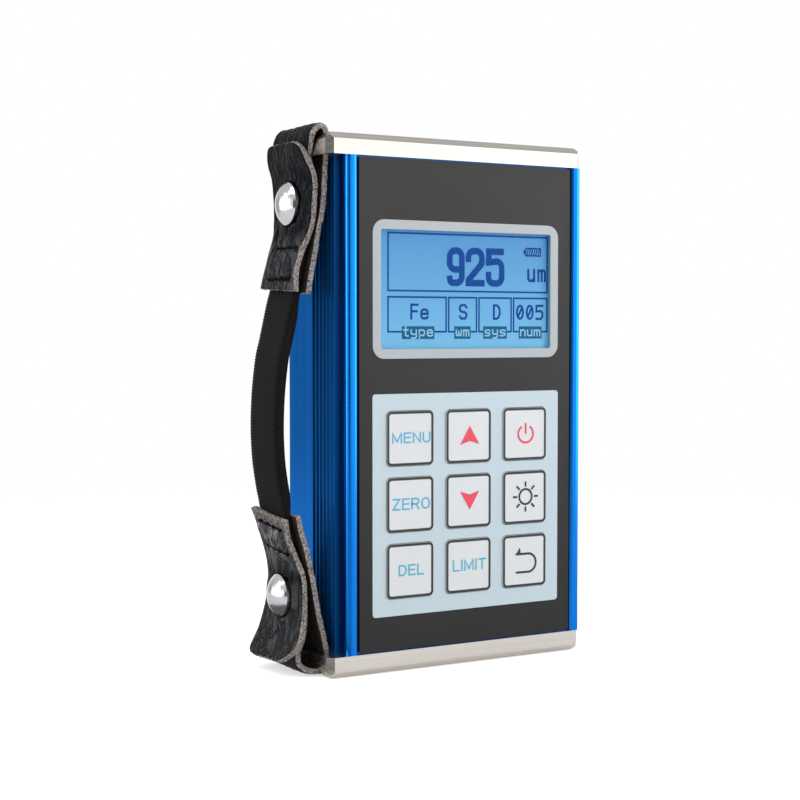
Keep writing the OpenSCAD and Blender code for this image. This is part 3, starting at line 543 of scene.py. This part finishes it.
def sewn(seams, sides, puff, gather, flare, snap):
    a, b = seams
    front, rear = sides
    pitch = (rear - front) / (len(holes(sides)) - 1)

    def ridge(v, w):
        return 1 - 2 * np.abs(np.sin(np.pi * (w - front) / pitch + 0.18 * np.sin(0.8 * v + w))) ** 0.7

    def height(v, w):
        inside = np.clip((v - a) / (b - a), 0, 1) * (v > a) * (v < b)
        across = np.clip((w - front) / (rear - front), 0, 1)
        h = puff * np.sin(np.pi * inside) ** 0.6 * np.sin(np.pi * across) ** 0.5
        pocket = np.clip((v - a + 0.3) / 0.5, 0, 1) * np.clip((b + 0.3 - v) / 0.5, 0, 1)
        for edge in sides:
            h = h - 0.5 * np.exp(-((w - edge) / 0.4) ** 2) * pocket
        held = np.clip((w - front + 0.4) / 0.8, 0, 1) * np.clip((rear + 0.4 - w) / 0.8, 0, 1)
        for seam in seams:
            h = h - 0.7 * np.exp(-((v - seam) / 0.42) ** 2) * held
            for hole in holes(sides):
                h = h - 0.4 * np.exp(-((w - hole) / 0.3) ** 2 - ((v - seam) / 0.5) ** 2)
            fold = ridge(v, w) * np.exp(-np.abs(v - seam) / 2.4)
            h = h + gather * fold * (1 - np.exp(-((v - seam) / 0.6) ** 2)) * held
        h = h + gather * ridge(v, w) * pocket * held * (1 - 0.4 * np.sin(np.pi * inside))
        h = h + 0.16 * np.sin(w * 2.1 + 0.9 * np.sin(v * 0.5)) * np.clip((v - 14) / 8, 0, 1)
        around = np.hypot(v - snap, w)
        h = h + swell * np.clip((around - cap_r) / 0.5, 0, 1) * np.clip((swell_r - around) / 2.6, 0, 1)
        return h + flare * np.clip((v - b - 0.6) / 2.5, 0, 1) ** 2
    return height


# %% Top tongue
top_line, top_out = smooth_line(
    [(7.85, 1.6), (7.62, 3.2), (7.5, 4.8), (7.15, 6.3), (6.55, 7.8), (6.05, 9.3), (5.75, 11.2), (5.68, 13.5),
     (5.72, 16), (5.8, 18.8), (6.1, 20.9), (6.65, 23.1), (7.4, 25.2), (8.1, 27), (9, 30), (9.6, 32.8),
     (9.95, 35.6)], tongue_step, leather_t)
top_seams, top_sides = (26.2, 33.2), (-6.3, 5.6)
top_height = sewn(top_seams, top_sides, puff=0.8, gather=-0.24, flare=0.3, snap=15.6)


def top_lean(v, w):
    return 0.05 * w * np.exp(-((v - 11) / 5) ** 2)


def top_slant(v, w):
    return -0.05 * w * np.clip((v - 33) / 2, 0, 1)


top_tongue = strip(
    "top_tongue_leather", top_line, top_out, 1,
    half_width(1.6, 6.2, [(20, strap_half), (26, 8.4), (30, 8.0), (33, 8.3), (36, 8.9)]),
    half_width(1.6, 2.2, [(20, strap_half), (26, 8.4), (30, 8.0), (33, 8.3), (36, 8.6)]),
    top_height, hide, top_lean, top_slant)
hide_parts("top_strap_tongue")

# %% Bottom tongue
low_line, low_out = smooth_line(
    [(12.5, 3.1), (11.75, 4.2), (10.5, 5.9), (9.4, 8.3), (8.87, 10.8), (8.5, 13), (8.27, 15), (8.2, 17.2),
     (8.2, 19.4), (8.22, 21.5), (8.55, 24), (9.2, 26.6), (10.05, 28.9), (10.85, 31), (11.65, 33), (12.25, 35),
     (12.6, 37)], tongue_step, leather_t)
low_seams, low_sides = (29.4, 34.8), (-6.0, 5.0)
low_height = sewn(low_seams, low_sides, puff=0.7, gather=-0.3, flare=0.6, snap=17.85)


def low_slant(v, w):
    seam_steep, rear_steep, front_steep = 0.15, 0.19, 0.07
    at_hem = np.where(w > 0, rear_steep, front_steep) - seam_steep
    return w * (seam_steep * np.clip((v - 24) / 4, 0, 1) + at_hem * np.clip((v - 35) / 2, 0, 1))


def low_lean(v, w):
    flared = 0.16 * np.clip(w, 0, 10) * np.clip((17 - v) / 10, 0, 1)
    return flared + 0.36 * low_slant(v, w)


low_tongue = strip(
    "bottom_tongue_leather", low_line, low_out, -1,
    half_width(3.1, 6.2, [(18, strap_half), (24, 8.9), (29, 7.5), (33, 7.4), (37, 8.2)]),
    half_width(3.1, 3.0, [(18, strap_half), (24, 8.6), (29, 6.7), (33, 6.4), (37, 7.0)]),
    low_height, hide, low_lean, low_slant, pared=35.4)
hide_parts("bottom_strap_tongue")

# %% [markdown]
# ## Loops
# The inner strip of each end goes through the slot of the ear, round its bar and back under the tongue,
# where it is pared thin and cut a little narrower at the front. Its grain side faces out all the way round
# the fold.

# %% Top loop
loop_step = 0.4
narrow_half = 7.4


def even(value):
    return lambda v: np.full(len(v), value)


def drawn_in(begin, stop):
    return lambda v: np.interp(np.linspace(0, 1, len(v)), [begin, stop], [strap_half, narrow_half])


def ripple(v, w):
    return 0.07 * np.sin(w * 1.7 + 1.2 * np.sin(v * 0.35)) + 0.05 * np.sin(v * 1.9 + w * 0.4)


line, out_way = smooth_line(
    [(6.95, 36.6), (6.4, 33.5), (5.75, 30), (5, 26.5), (4.1, 21.5), (3.5, 19), (3.1, 16.5), (2.85, 13.5),
     (2.7, 11), (2.5, 8), (2.3, 5.5), (2.3, 3), (2.3, 0.8), (2.32, -0.6), (2.75, -1.5), (3.55, -1.9),
     (4.5, -1.6), (5.35, -0.8), (6, 0.3), (6.25, 1.5), (6.1, 2.7), (5.9, 4), (5.88, 5), (5.45, 6.4, 1.3),
     (4.95, 7.8, 1.1), (4.6, 9.3, 0.9), (4.47, 11, 0.8), (4.45, 13.5, 0.75), (4.55, 16, 0.7),
     (4.65, 17.4, 0.6), (4.74, 18.6, 0.4)], loop_step, leather_t)
top_loop = strip("top_loop_leather", line, out_way, 1, drawn_in(0.72, 0.78), even(strap_half), ripple,
                 hide, columns=24, seed=3)
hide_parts("top_strap_loop")

# %% Bottom loop
fold_u, fold_v, fold_r = 3.6, 0.85, 1.5
fold = [(fold_u - fold_r * math.cos(a), fold_v + fold_r * (1 - math.sin(a)))
        for a in np.radians([0, 30, 60, 90])]
line, out_way = smooth_line(
    [(9.6, 37.4), (9.2, 35), (8.65, 33), (8, 31), (7.3, 28.5), (6.7, 26), (5.8, 22), (5.1, 18), (4.4, 14),
     (3.5, 10.5), (2.75, 7.5), (2.3, 5.2), (2.1, 3.6)] + fold
    + [(4.6, 0.85), (5.8, 0.88), (7, 1.15), (8.1, 1.75), (8.95, 2.75), (9.15, 4.1), (8.7, 5.9),
       (7.75, 8.3, 1.4), (7.25, 10.8, 1.3), (7, 13, 1.15), (6.88, 15.5, 1), (6.85, 17.85, 0.8),
       (6.95, 21, 0.5)], loop_step, leather_t)
low_loop = strip("bottom_loop_leather", line, out_way, -1, drawn_in(0.62, 0.75), even(strap_half), ripple,
                 hide, columns=24, seed=4)
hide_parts("bottom_strap_loop")

# %% [markdown]
# ## The elastic
# The band runs from one sewn pocket to the other in a gentle bow. Its ribs are real: each row of the weave is
# a small ridge across the band, so the rim is finely toothed as on real webbing.

# %% Ribbed band
rib, band_half, band_t = 0.72, 7.1, 2.1
top_run = [(6.75, 27.5, 1.1), (7.4, 30.1, 1.1), (8, 33.5, 1.1), (8.45, 36, 1.2), (9.05, 38.6, 1.6),
           (9.8, 42.6), (10.85, 47.2), (11.95, 51.8), (12.9, 59.8)]
low_run = [(13.2, 57.2), (12.9, 50.3), (12.3, 45.7), (11.7, 42.2), (11.35, 39.9, 1.7), (11.1, 37.2, 1.1),
           (10.7, 35, 1.0), (10.14, 33, 1.0), (9.42, 31, 1.0)]
run = top_run + [(p[0], 2 * half_height - p[1], *p[2:]) for p in low_run]
line, out_way = smooth_line(run, rib / 6, band_t)


def ribs(v, w):
    return 0.07 * np.sin(2 * np.pi * v / rib) + 0.03 * np.sin(w * 2.6)


band = strip("elastic_band_woven", line, out_way, 1, even(band_half), even(band_half), ribs,
             [elastic_woven, elastic_woven, elastic_edge], columns=10, wall_rows=2, rim=0.6,
             rough_edge=0.03, seed=5)
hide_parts("elastic_band")

# %% [markdown]
# ## Stitches
# Thread lies in the sunk seams as short bars with a gap between them. Each bar is a bent tube that dips into
# the leather at both ends. In the bottom pocket's lower seam it lies on the open side, clear of the puff.

# %% Thread bars in the seams
thread_r, thread_gap = 0.34, 0.15
low_thread = (29.0, low_seams[1])
dip = np.array([-0.3, 0.16, 0.26, 0.26, 0.16, -0.3])


def tube(path, radius, sides=8):
    along = np.gradient(path, axis=0)
    turns = np.linspace(0, 2 * np.pi, sides + 1)[:-1]
    points, faces = [], []
    for p, t in zip(path, along):
        t = t / np.linalg.norm(t)
        a = np.cross(t, [0.3, 0.2, 0.93])
        a /= np.linalg.norm(a)
        b = np.cross(t, a)
        points += [p + radius * (math.cos(k) * a + math.sin(k) * b) for k in turns]
    for i in range(len(path) - 1):
        for k in range(sides):
            n = (k + 1) % sides
            faces.append((i * sides + k, i * sides + n, (i + 1) * sides + n, (i + 1) * sides + k))
    return points, faces


def stitches(name, line, normal, end, seams, height, sides, lean=no_shift, slant=no_shift):
    points, faces = [], []
    marks = holes(sides)
    for seam in seams:
        i = int(np.argmin(np.abs(line[:, 1] - seam)))
        u, v, t = line[i]
        at_v = np.full(len(dip), v)
        for a, b in zip(marks, marks[1:]):
            ws = np.linspace(a + thread_gap, b - thread_gap, len(dip))
            d = t / 2 + height(at_v, ws) + dip
            bar_u = u + lean(at_v, ws) + normal[i, 0] * d
            bar_v = v + slant(at_v, ws) + normal[i, 1] * d
            path = np.stack([side_x - bar_u, strap_y + ws, end * (half_height - bar_v)], axis=1)
            p, f = tube(path, thread_r)
            faces += [tuple(len(points) + q for q in quad) for quad in f]
            points += p
    return piece(name, points, faces, [thread], smooth=True)


stitches("top_tongue_stitches", top_line, top_out, 1, top_seams, top_height, top_sides)
stitches("bottom_tongue_stitches", low_line, low_out, -1, low_thread, low_height, low_sides,
         low_lean, low_slant)

# %% [markdown]
# ## Inks
# The keys and the display are printed. An ink is thin and slightly glossy, and each colour has its own
# material.

# %% Ink colours
ink = {
    "red": moulded("ink_red", (232, 66, 88), 0.4, drift=0.08),
    "teal": moulded("ink_teal", (52, 176, 210), 0.4, drift=0.08),
    "dark": moulded("ink_dark", (31, 35, 39), 0.4, drift=0.1),
    "pixel": moulded("ink_pixel", (6, 76, 158), 0.6, drift=0.05, Specular_IOR_Level=0.1),
    "tag": moulded("ink_tag", (30, 104, 146), 0.6, drift=0.05, Specular_IOR_Level=0.1),
    "tag_letter": moulded("ink_tag_letter", (144, 205, 236), 0.5, drift=0.03),
}

# %% [markdown]
# ## A pen for signs and words
# Words and signs are drawn as pen strokes: a stroke is a line of points, and the pen lays a flat ribbon along
# it with mitred corners. Letters sit in a box one unit high. Prints lie a few hundredths of a millimetre
# above the face that they are printed on.

# %% Letter shapes
letters = {
    "M": (1.0, [[(0, 0), (0, 1), (0.5, 0.12), (1, 1), (1, 0)]]),
    "E": (0.72, [[(1, 0), (0, 0), (0, 1), (1, 1)], [(0, 0.52), (0.9, 0.52)]]),
    "N": (0.8, [[(0, 0), (0, 1), (1, 0), (1, 1)]]),
    "U": (0.78, [[(0, 1), (0, 0.28), (0.14, 0.07), (0.36, 0), (0.64, 0), (0.86, 0.07), (1, 0.28), (1, 1)]]),
    "Z": (0.75, [[(0, 1), (1, 1), (0, 0), (1, 0)]]),
    "R": (0.78, [[(0, 0), (0, 1), (0.7, 1), (0.93, 0.9), (1, 0.74), (0.93, 0.58), (0.7, 0.48), (0, 0.48)],
                 [(0.55, 0.48), (1, 0)]]),
    "O": (0.88, [[(0.5 + 0.5 * math.cos(a), 0.5 + 0.5 * math.sin(a))
                  for a in np.linspace(0, 2 * np.pi, 25)]]),
    "D": (0.8, [[(0, 0), (0, 1), (0.55, 1), (0.85, 0.86), (1, 0.62), (1, 0.38), (0.85, 0.14), (0.55, 0),
                 (0, 0)]]),
    "L": (0.66, [[(0, 1), (0, 0), (1, 0)]]),
    "I": (0.0, [[(0, 0), (0, 1)]]),
    "T": (0.8, [[(0, 1), (1, 1)], [(0.5, 1), (0.5, 0)]]),
    "F": (0.6, [[(0, 0), (0, 1), (1, 1)], [(0, 0.52), (0.85, 0.52)]]),
    "S": (0.62, [[(1, 0.84), (0.8, 1), (0.2, 1), (0, 0.84), (0, 0.64), (0.2, 0.52), (0.8, 0.46), (1, 0.34),
                  (1, 0.16), (0.8, 0), (0.2, 0), (0, 0.16)]]),
    "e": (0.6, [[(0, 0.34), (1, 0.34)],
                [(1, 0.34), (1, 0.5), (0.8, 0.64), (0.2, 0.64), (0, 0.5), (0, 0.14), (0.2, 0), (0.8, 0),
                 (1, 0.1)]]),
    "u": (0.6, [[(0, 0.64), (0, 0.12), (0.2, 0), (0.7, 0), (1, 0.14)], [(1, 0.64), (1, 0)]]),
    "m": (0.78, [[(0, 0), (0, 0.64)], [(0, 0.54), (0.2, 0.64), (0.4, 0.64), (0.5, 0.52), (0.5, 0)],
                 [(0.5, 0.52), (0.65, 0.64), (0.85, 0.64), (1, 0.52), (1, 0)]]),
    "n": (0.6, [[(0, 0), (0, 0.64)], [(0, 0.5), (0.25, 0.64), (0.75, 0.64), (1, 0.5), (1, 0)]]),
    "t": (0.5, [[(0.4, 1), (0.4, 0.12), (0.6, 0), (1, 0)], [(0, 0.66), (0.95, 0.66)]]),
    "y": (0.6, [[(0, 0.64), (0, 0.3), (0.2, 0.18), (1, 0.18)],
                [(1, 0.64), (1, -0.1), (0.8, -0.24), (0.1, -0.24)]]),
    "p": (0.6, [[(0, -0.24), (0, 0.64), (0.8, 0.64), (1, 0.5), (1, 0.18), (0.8, 0.04), (0, 0.04)]]),
    "w": (0.8, [[(0, 0.64), (0.05, 0.1), (0.25, 0), (0.5, 0.2), (0.5, 0.5)],
                [(0.5, 0.2), (0.75, 0), (0.95, 0.1), (1, 0.64)]]),
    "s": (0.58, [[(1, 0.56), (0.8, 0.64), (0.2, 0.64), (0, 0.52), (0, 0.42), (0.2, 0.33), (0.8, 0.3),
                  (1, 0.2), (1, 0.1), (0.8, 0), (0, 0)]]),
    "0": (0.6, [[(0.5 + 0.5 * math.cos(a), 0.5 + 0.5 * math.sin(a)) for a in np.linspace(0, 2 * np.pi, 17)],
                [(0.15, 0.12), (0.85, 0.88)]]),
    "5": (0.6, [[(1, 1), (0, 1), (0, 0.56), (0.75, 0.6), (1, 0.44), (1, 0.18), (0.75, 0), (0, 0)]]),
}


# %% Pen strokes to faces
class Print:
    """Collects flat shapes on one face and turns them into one piece."""

    levels, level_step = 7, 0.003

    def __init__(self, y):
        self.y, self.points, self.faces, self.layer = y, [], [], 0

    def next_level(self):
        self.layer = (self.layer + 1) % self.levels
        return self.y - self.level_step * self.layer

    def patch(self, outline):
        at, y = len(self.points), self.next_level()
        self.points += [(x, y, z) for x, z in outline]
        self.faces.append(tuple(range(at, at + len(outline))))

    def stroke(self, path, pen):
        p = np.array(path, float)
        p = p[np.append(True, np.linalg.norm(np.diff(p, axis=0), axis=1) > 1e-6)]
        closed = np.allclose(p[0], p[-1])
        way = np.diff(p, axis=0)
        way /= np.linalg.norm(way, axis=1)[:, None]
        before = np.vstack([way[-1:] if closed else way[:1], way])
        after = np.vstack([way, way[:1] if closed else way[-1:]])
        square = np.stack([-(before + after)[:, 1], (before + after)[:, 0]], axis=1)
        square /= np.linalg.norm(square, axis=1)[:, None]
        bend = np.clip((square * np.stack([-after[:, 1], after[:, 0]], axis=1)).sum(1), 0.45, 1)
        side = square * (pen / 2 / bend)[:, None]
        if not closed:
            p[0] -= way[0] * pen / 2
            p[-1] += way[-1] * pen / 2
        at, y = len(self.points), self.next_level()
        for a, b in zip(p + side, p - side):
            self.points += [(a[0], y, a[1]), (b[0], y, b[1])]
        self.faces += [(k, k + 1, k + 3, k + 2) for k in range(at, at + 2 * len(p) - 2, 2)]

    def bar(self, x0, x1, z0, z1):
        self.patch([(x0, z0), (x1, z0), (x1, z1), (x0, z1)])

    def frame(self, x0, x1, z0, z1, pen):
        self.bar(x0, x1, z0, z0 + pen)
        self.bar(x0, x1, z1 - pen, z1)
        self.bar(x0, x0 + pen, z0, z1)
        self.bar(x1 - pen, x1, z0, z1)

    def word(self, text, x0, x1, z, tall, pen):
        gap = 0.36
        total = sum(letters[c][0] for c in text) + gap * (len(text) - 1)
        unit, at = (x1 - x0) / total, x0
        for c in text:
            wide = letters[c][0] * unit
            for path in letters[c][1]:
                self.stroke([(at + px * wide, z + pz * tall) for px, pz in path], pen)
            at += wide + gap * unit

    def make(self, name, colour, slot, body):
        return piece(name, self.points, self.faces, [ink[colour]], body)


# %% [markdown]
# ## Key prints
# Every key has a dark line along its rim and a word or sign near its middle. The print rides on its own key,
# so it goes down with the press.


# %% Key rims
def ring(cx, cz, rx, rz, a0, a1, steps=28):
    angles = [math.radians(a) for a in np.linspace(a0, a1, steps)]
    return [(cx + rx * math.cos(a), cz + rz * math.sin(a)) for a in angles]


def arc(cx, cz, r, a):
    return ring(cx, cz, r, r, a, a + 90, 7)


def corner_path(w, h, r):
    x, z = w / 2 - r, h / 2 - r
    return arc(x, z, r, 0) + arc(-x, z, r, 90) + arc(-x, -z, r, 180) + arc(x, -z, r, 270)


def key_middle(name):
    low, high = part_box(name)
    x = ((low.x + high.x) / 2 - datum.x) * 1000
    z = ((low.z + high.z) / 2 - datum.z) * 1000
    return x, z, (low.y - datum.y) * 1000


key_w, key_h, key_r = 12.7, 12.8, 1.2
rim_lift, sign_lift = 0.03, 0.05


def rim_print(name):
    cx, cz, y = key_middle(name)
    p = Print(y - rim_lift)
    outer = corner_path(key_w - 0.08, key_h - 0.08, key_r - 0.04)
    inner = corner_path(key_w - 1.28, key_h - 1.28, key_r - 0.6)
    n = len(outer)
    for k in range(n):
        m = (k + 1) % n
        p.patch([(cx + a, cz + b) for a, b in (outer[k], outer[m], inner[m], inner[k])])
    p.make(name + "_rim", "dark", "key_white", name)


keys = [n for n in nodes_cad if n.startswith("key_") and n != "key_domes"]
for name in keys:
    rim_print(name)
print("keys:", keys)


# %% Words and signs
sign_right, sign_up = 0.26, 0.15


def sign(name, colour, draw):
    cx, cz, y = key_middle(name)
    p = Print(y - sign_lift)
    draw(p, cx + sign_right, cz + sign_up)
    p.make(name + "_sign", colour, "key_white", name)


def arrow(way):
    def draw(p, cx, cz):
        tip, left, notch, right = (0, 2.3), (-2.75, -2.2), (0, -1.35), (2.75, -2.2)
        p.patch([(cx + a, cz + way * b) for a, b in (tip, left, notch)])
        p.patch([(cx + a, cz + way * b) for a, b in (tip, notch, right)])
    return draw


def power(p, cx, cz):
    p.stroke(ring(cx, cz - 0.2, 2.2, 2.1, 128, 412), 0.52)
    p.stroke([(cx, cz + 0.1), (cx, cz + 2.25)], 0.5)


def sun(p, cx, cz):
    p.stroke(ring(cx, cz, 1.85, 1.85, 0, 360), 0.52)
    for a in np.radians(np.arange(0, 360, 45)):
        p.stroke([(cx + r * math.cos(a), cz + r * math.sin(a)) for r in (2.7, 3.45)], 0.5)


def turn_back(p, cx, cz):
    bow = ring(cx + 0.9, cz - 0.75, 2.2, 2.25, 90, -90)
    p.stroke([(cx - 2.6, cz + 1.5), (cx + 0.9, cz + 1.5)] + bow + [(cx - 2.5, cz - 3.0)], 0.54)
    p.patch([(cx - 2.9, cz + 1.24), (cx - 1.35, cz + 1.6), (cx - 1.65, cz + 3.15)])


def word(text, wide, tall):
    return lambda p, cx, cz: p.word(text, cx - wide / 2, cx + wide / 2, cz - tall / 2, tall, 0.36)


sign("key_menu", "teal", word("MENU", 10.1, 2.2))
sign("key_zero", "teal", word("ZERO", 9.9, 2.4))
sign("key_delete", "teal", word("DEL", 6.5, 2.3))
sign("key_limit", "teal", word("LIMIT", 9.1, 2.4))
sign("key_up", "red", arrow(1))
sign("key_down", "red", arrow(-1))
sign("key_power", "red", power)
sign("key_light", "dark", sun)
sign("key_back", "dark", turn_back)

# %% [markdown]
# ## What the display shows
# A reading with its unit, a battery sign and four small fields with tags. The frames are thin even lines;
# the reading is drawn with a broad square pen, as such displays build big figures from dots.

# %% Frames and the reading
lcd_y = (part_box("lcd_panel")[0].y - datum.y) * 1000
window_y = (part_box("display_window")[1].y - datum.y) * 1000
print("display face at y", round(lcd_y, 3), "window back at", round(window_y, 3))
figure_lift, tag_lift, letter_lift = 0.03, 0.05, 0.07
figures = Print(lcd_y - figure_lift)
line_pen = 0.42
figures.frame(-21.6, 24.05, 26.55, 40.4, line_pen)
for x0, x1 in ((-21.6, -5.25), (-4.95, 3.35), (3.65, 13.4), (13.7, 24.05)):
    figures.frame(x0, x1, 16.95, 25.5, line_pen)


def big(figure, x, w):
    z, h, pen, r = 28.0, 9.25, 1.6, 1.5
    x0, x1, z0, z1 = x + pen / 2, x + w - pen / 2, z + pen / 2, z + h - pen / 2
    foot = arc(x0 + r, z0 + r, r, 180) + arc(x1 - r, z0 + r, r, 270)
    head = arc(x1 - r, z1 - r, r, 0) + arc(x0 + r, z1 - r, r, 90)
    if figure == "9":
        low, hook = z + 0.43 * h, 0.9
        tail = arc(x0 + hook, z0 + hook, hook, 180) + arc(x1 - r, z0 + r, r, 270)
        figures.stroke(tail + head + [(x0, low + r)], pen)
        figures.stroke(arc(x0 + r, low + r, r, 180) + [(x1, low)], pen)
    if figure == "2":
        figures.stroke([(x0, z1 - 1.9)] + head[::-1] + [(x1, z1 - 3.0), (x0 + 0.3, z0 + 1.0)], pen)
        figures.bar(x, x + w, z, z + pen)
    if figure == "5":
        bowl = z + 0.66 * h
        figures.bar(x + 0.1, x + w - 0.2, z + h - pen, z + h)
        figures.bar(x + 0.1, x + 0.1 + pen, bowl - 1.0, z + h)
        figures.stroke([(x0, z0 + 2.0)] + foot + arc(x1 - r, bowl - r, r, 0) + [(x0, bowl - 0.3)], pen)


for figure, x, wide in (("9", -5.25, 5.0), ("2", 0.0, 5.45), ("5", 5.75, 5.45)):
    big(figure, x, wide)

# %% Unit, battery sign and small fields
figures.word("u", 18.25, 19.95, 29.6, 4.0, 0.68)
figures.word("m", 21.25, 23.2, 29.6, 4.0, 0.6)
figures.frame(17.25, 22.0, 35.5, 37.65, 0.36)
figures.bar(16.75, 17.3, 36.1, 37.05)
for x in np.arange(17.9, 21.6, 0.66):
    figures.patch([(x - 0.3, 35.8), (x + 0.05, 35.8), (x + 0.5, 37.35), (x + 0.15, 37.35)])
field_z, field_tall, field_pen = 20.3, 3.2, 0.56
for text, x0, x1 in (("Fe", -15.1, -10.6), ("S", -1.6, 0.25), ("D", 8.15, 9.85), ("005", 14.9, 22.5)):
    figures.word(text, x0, x1, field_z, field_tall, field_pen)
figures.make("display_figures", "pixel", "lcd_blue", "gauge")

# %% Tags with pale letters
tags, tag_words = Print(lcd_y - tag_lift), Print(lcd_y - letter_lift)
for text, x0, x1 in (("type", -17.7, -8.75), ("wm", -3.2, 1.45), ("sys", 5.05, 11.9), ("num", 15.45, 22.25)):
    tags.bar(x0, x1, 15.45, 18.45)
    tag_words.word(text, x0 + 0.55, x1 - 0.55, 16.2, 2.1, 0.36)
tags.make("display_tags", "tag", "lcd_blue", "gauge")
tag_words.make("display_tag_words", "tag_letter", "lcd_blue", "gauge")

# %% [markdown]
# ## The studio
# A pale floor, a white surround and broad soft lights. The floor fades to white away from the gauge, so no
# horizon shows. Mirrored light sees only a part of its glow, and a dark card on it beside the strap.


# %% Floor
def glowing(tree, strength):
    return add(tree, "ShaderNodeEmission", {"Color": (1, 1, 1, 1), "Strength": strength}).outputs[0]


floor_half = 0.45
corners = [(floor_half * x, floor_half * y, 0) for x, y in ((-1, -1), (1, -1), (1, 1), (-1, 1))]
floor_mesh = bpy.data.meshes.new("floor")
floor_mesh.from_pydata(corners, [], [(0, 1, 2, 3)])
floor = bpy.data.objects.new("floor", floor_mesh)
bpy.context.scene.collection.objects.link(floor)
floor_mat, tree, shader = start("floor_pale", Roughness=0.9, Specular_IOR_Level=0.0,
                                Base_Color=(0.8, 0.8, 0.8, 1))
matt = shader.outputs[0]
sight = add(tree, "ShaderNodeLightPath").outputs
near = add(tree, "ShaderNodeAddShader", {0: matt, 1: glowing(tree, 0.6)}).outputs[0]
reach = add(tree, "ShaderNodeVectorMath", {0: position(tree)}, operation="LENGTH").outputs["Value"]
faded = blend(tree, between(tree, reach, 0, 1, 0.15, 0.42), near, glowing(tree, 1.0))
mirrored = calc(tree, "MULTIPLY", sight["Is Glossy Ray"], 0.2)
glow_share = calc(tree, "MAXIMUM", sight["Is Camera Ray"], mirrored)
left_of = between(tree, axis(tree, "X"), 1, 0, -0.04, -0.03)
beside = calc(tree, "MULTIPLY", left_of, between(tree, reach, 1, 0.25, 0.058, 0.068))
card = calc(tree, "MULTIPLY", sight["Is Glossy Ray"], beside)
seen = blend(tree, card, blend(tree, glow_share, matt, faded), glowing(tree, 0.12))
tree.links.new(seen, tree.nodes["Material Output"].inputs["Surface"])
floor_mesh.materials.append(floor_mat)
floor.location.z = -0.0002

# %% [markdown]
# ## The surround
# For the camera the surround is pure white. For the light that falls on the gauge it is a ring of grey
# panels, nearly black at the left front, dim at the left rear and brightest on the left and at the right
# front, because bright metal looks like metal only when it has something dark to mirror. Higher up it is an
# even grey.

# %% Grey panels all round
world = bpy.data.worlds.new("surround")
bpy.context.scene.world = world
world.use_nodes = True
tree = world.node_tree
looking = add(tree, "ShaderNodeTexCoord").outputs["Generated"]
way = add(tree, "ShaderNodeSeparateXYZ", {"Vector": looking}).outputs
turn = calc(tree, "ARCTAN2", way["Y"], way["X"])
panels = add(tree, "ShaderNodeValToRGB", {"Fac": between(tree, turn, 0, 1, -math.pi, math.pi)})
stops = [(-180, 2.2), (-172, 2.2), (-164, 0.08), (-134, 0.06), (-124, 0.6), (-112, 0.8), (-98, 1.7),
         (-74, 1.7), (-64, 1.15), (-53, 1.4), (-46, 2.2), (-16, 2.2), (10, 1.6), (40, 0.8), (88, 0.9),
         (98, 0.6), (108, 0.35), (124, 0.35), (132, 1.0), (138, 2.2), (180, 2.2)]
ramp(panels, [((angle + 180) / 360, grey) for angle, grey in stops])
sky = add(tree, "ShaderNodeMix", {"Factor": between(tree, way["Z"], 0, 1, 0.16, 0.4)}, data_type="RGBA")
tree.links.new(panels.outputs["Color"], sky.inputs["A"])
sky.inputs["B"].default_value = (0.55, 0.55, 0.56, 1)
surround = add(tree, "ShaderNodeMix", data_type="RGBA")
tree.links.new(add(tree, "ShaderNodeLightPath").outputs["Is Camera Ray"], surround.inputs["Factor"])
tree.links.new(sky.outputs["Result"], surround.inputs["A"])
surround.inputs["B"].default_value = (1, 1, 1, 1)
tree.links.new(surround.outputs["Result"], tree.nodes["Background"].inputs["Color"])


# %% Soft lights
def lamp(name, at, towards, size, power):
    data = bpy.data.lights.new(name, "AREA")
    data.shape = "RECTANGLE"
    data.size, data.size_y = size
    data.energy = power
    obj = bpy.data.objects.new(name, data)
    bpy.context.scene.collection.objects.link(obj)
    obj.location = at
    obj.rotation_mode = "QUATERNION"
    obj.rotation_quaternion = (Vector(towards) - Vector(at)).to_track_quat("-Z", "Y")


middle = (0, 0, 0.06)
lamp("front_soft", (0.35, -0.75, 0.55), middle, (0.7, 0.7), 0.8)
lamp("left_soft", (-0.82, 0.32, 0.25), middle, (0.32, 0.8), 1.5)
lamp("top_soft", (-0.4, -0.1, 0.85), middle, (0.7, 0.8), 2.5)
lamp("right_soft", (0.82, -0.32, 0.25), middle, (0.7, 0.8), 4.2)

# %% [markdown]
# ## The camera
# The camera stands where the photographer stood: to the left of the front, a little above the middle, with a
# long lens, so that the left side and the strap show beside the front panel.

# %% Camera
camera = bpy.data.objects.new("camera", bpy.data.cameras.new("camera"))
bpy.context.scene.collection.objects.link(camera)
camera.data.lens = 72.44
camera.data.sensor_width = 36
camera.data.clip_start = 0.01
camera.location = place(-208.8, -353.65, 17.7)
yaw, pitch = math.radians(30.435), math.radians(-2.51)
ahead = Vector((math.sin(yaw) * math.cos(pitch), math.cos(yaw) * math.cos(pitch), math.sin(pitch)))
camera.rotation_mode = "QUATERNION"
camera.rotation_quaternion = ahead.to_track_quat("-Z", "Y")
bpy.context.scene.camera = camera
bpy.context.scene.view_settings.view_transform = "Standard"
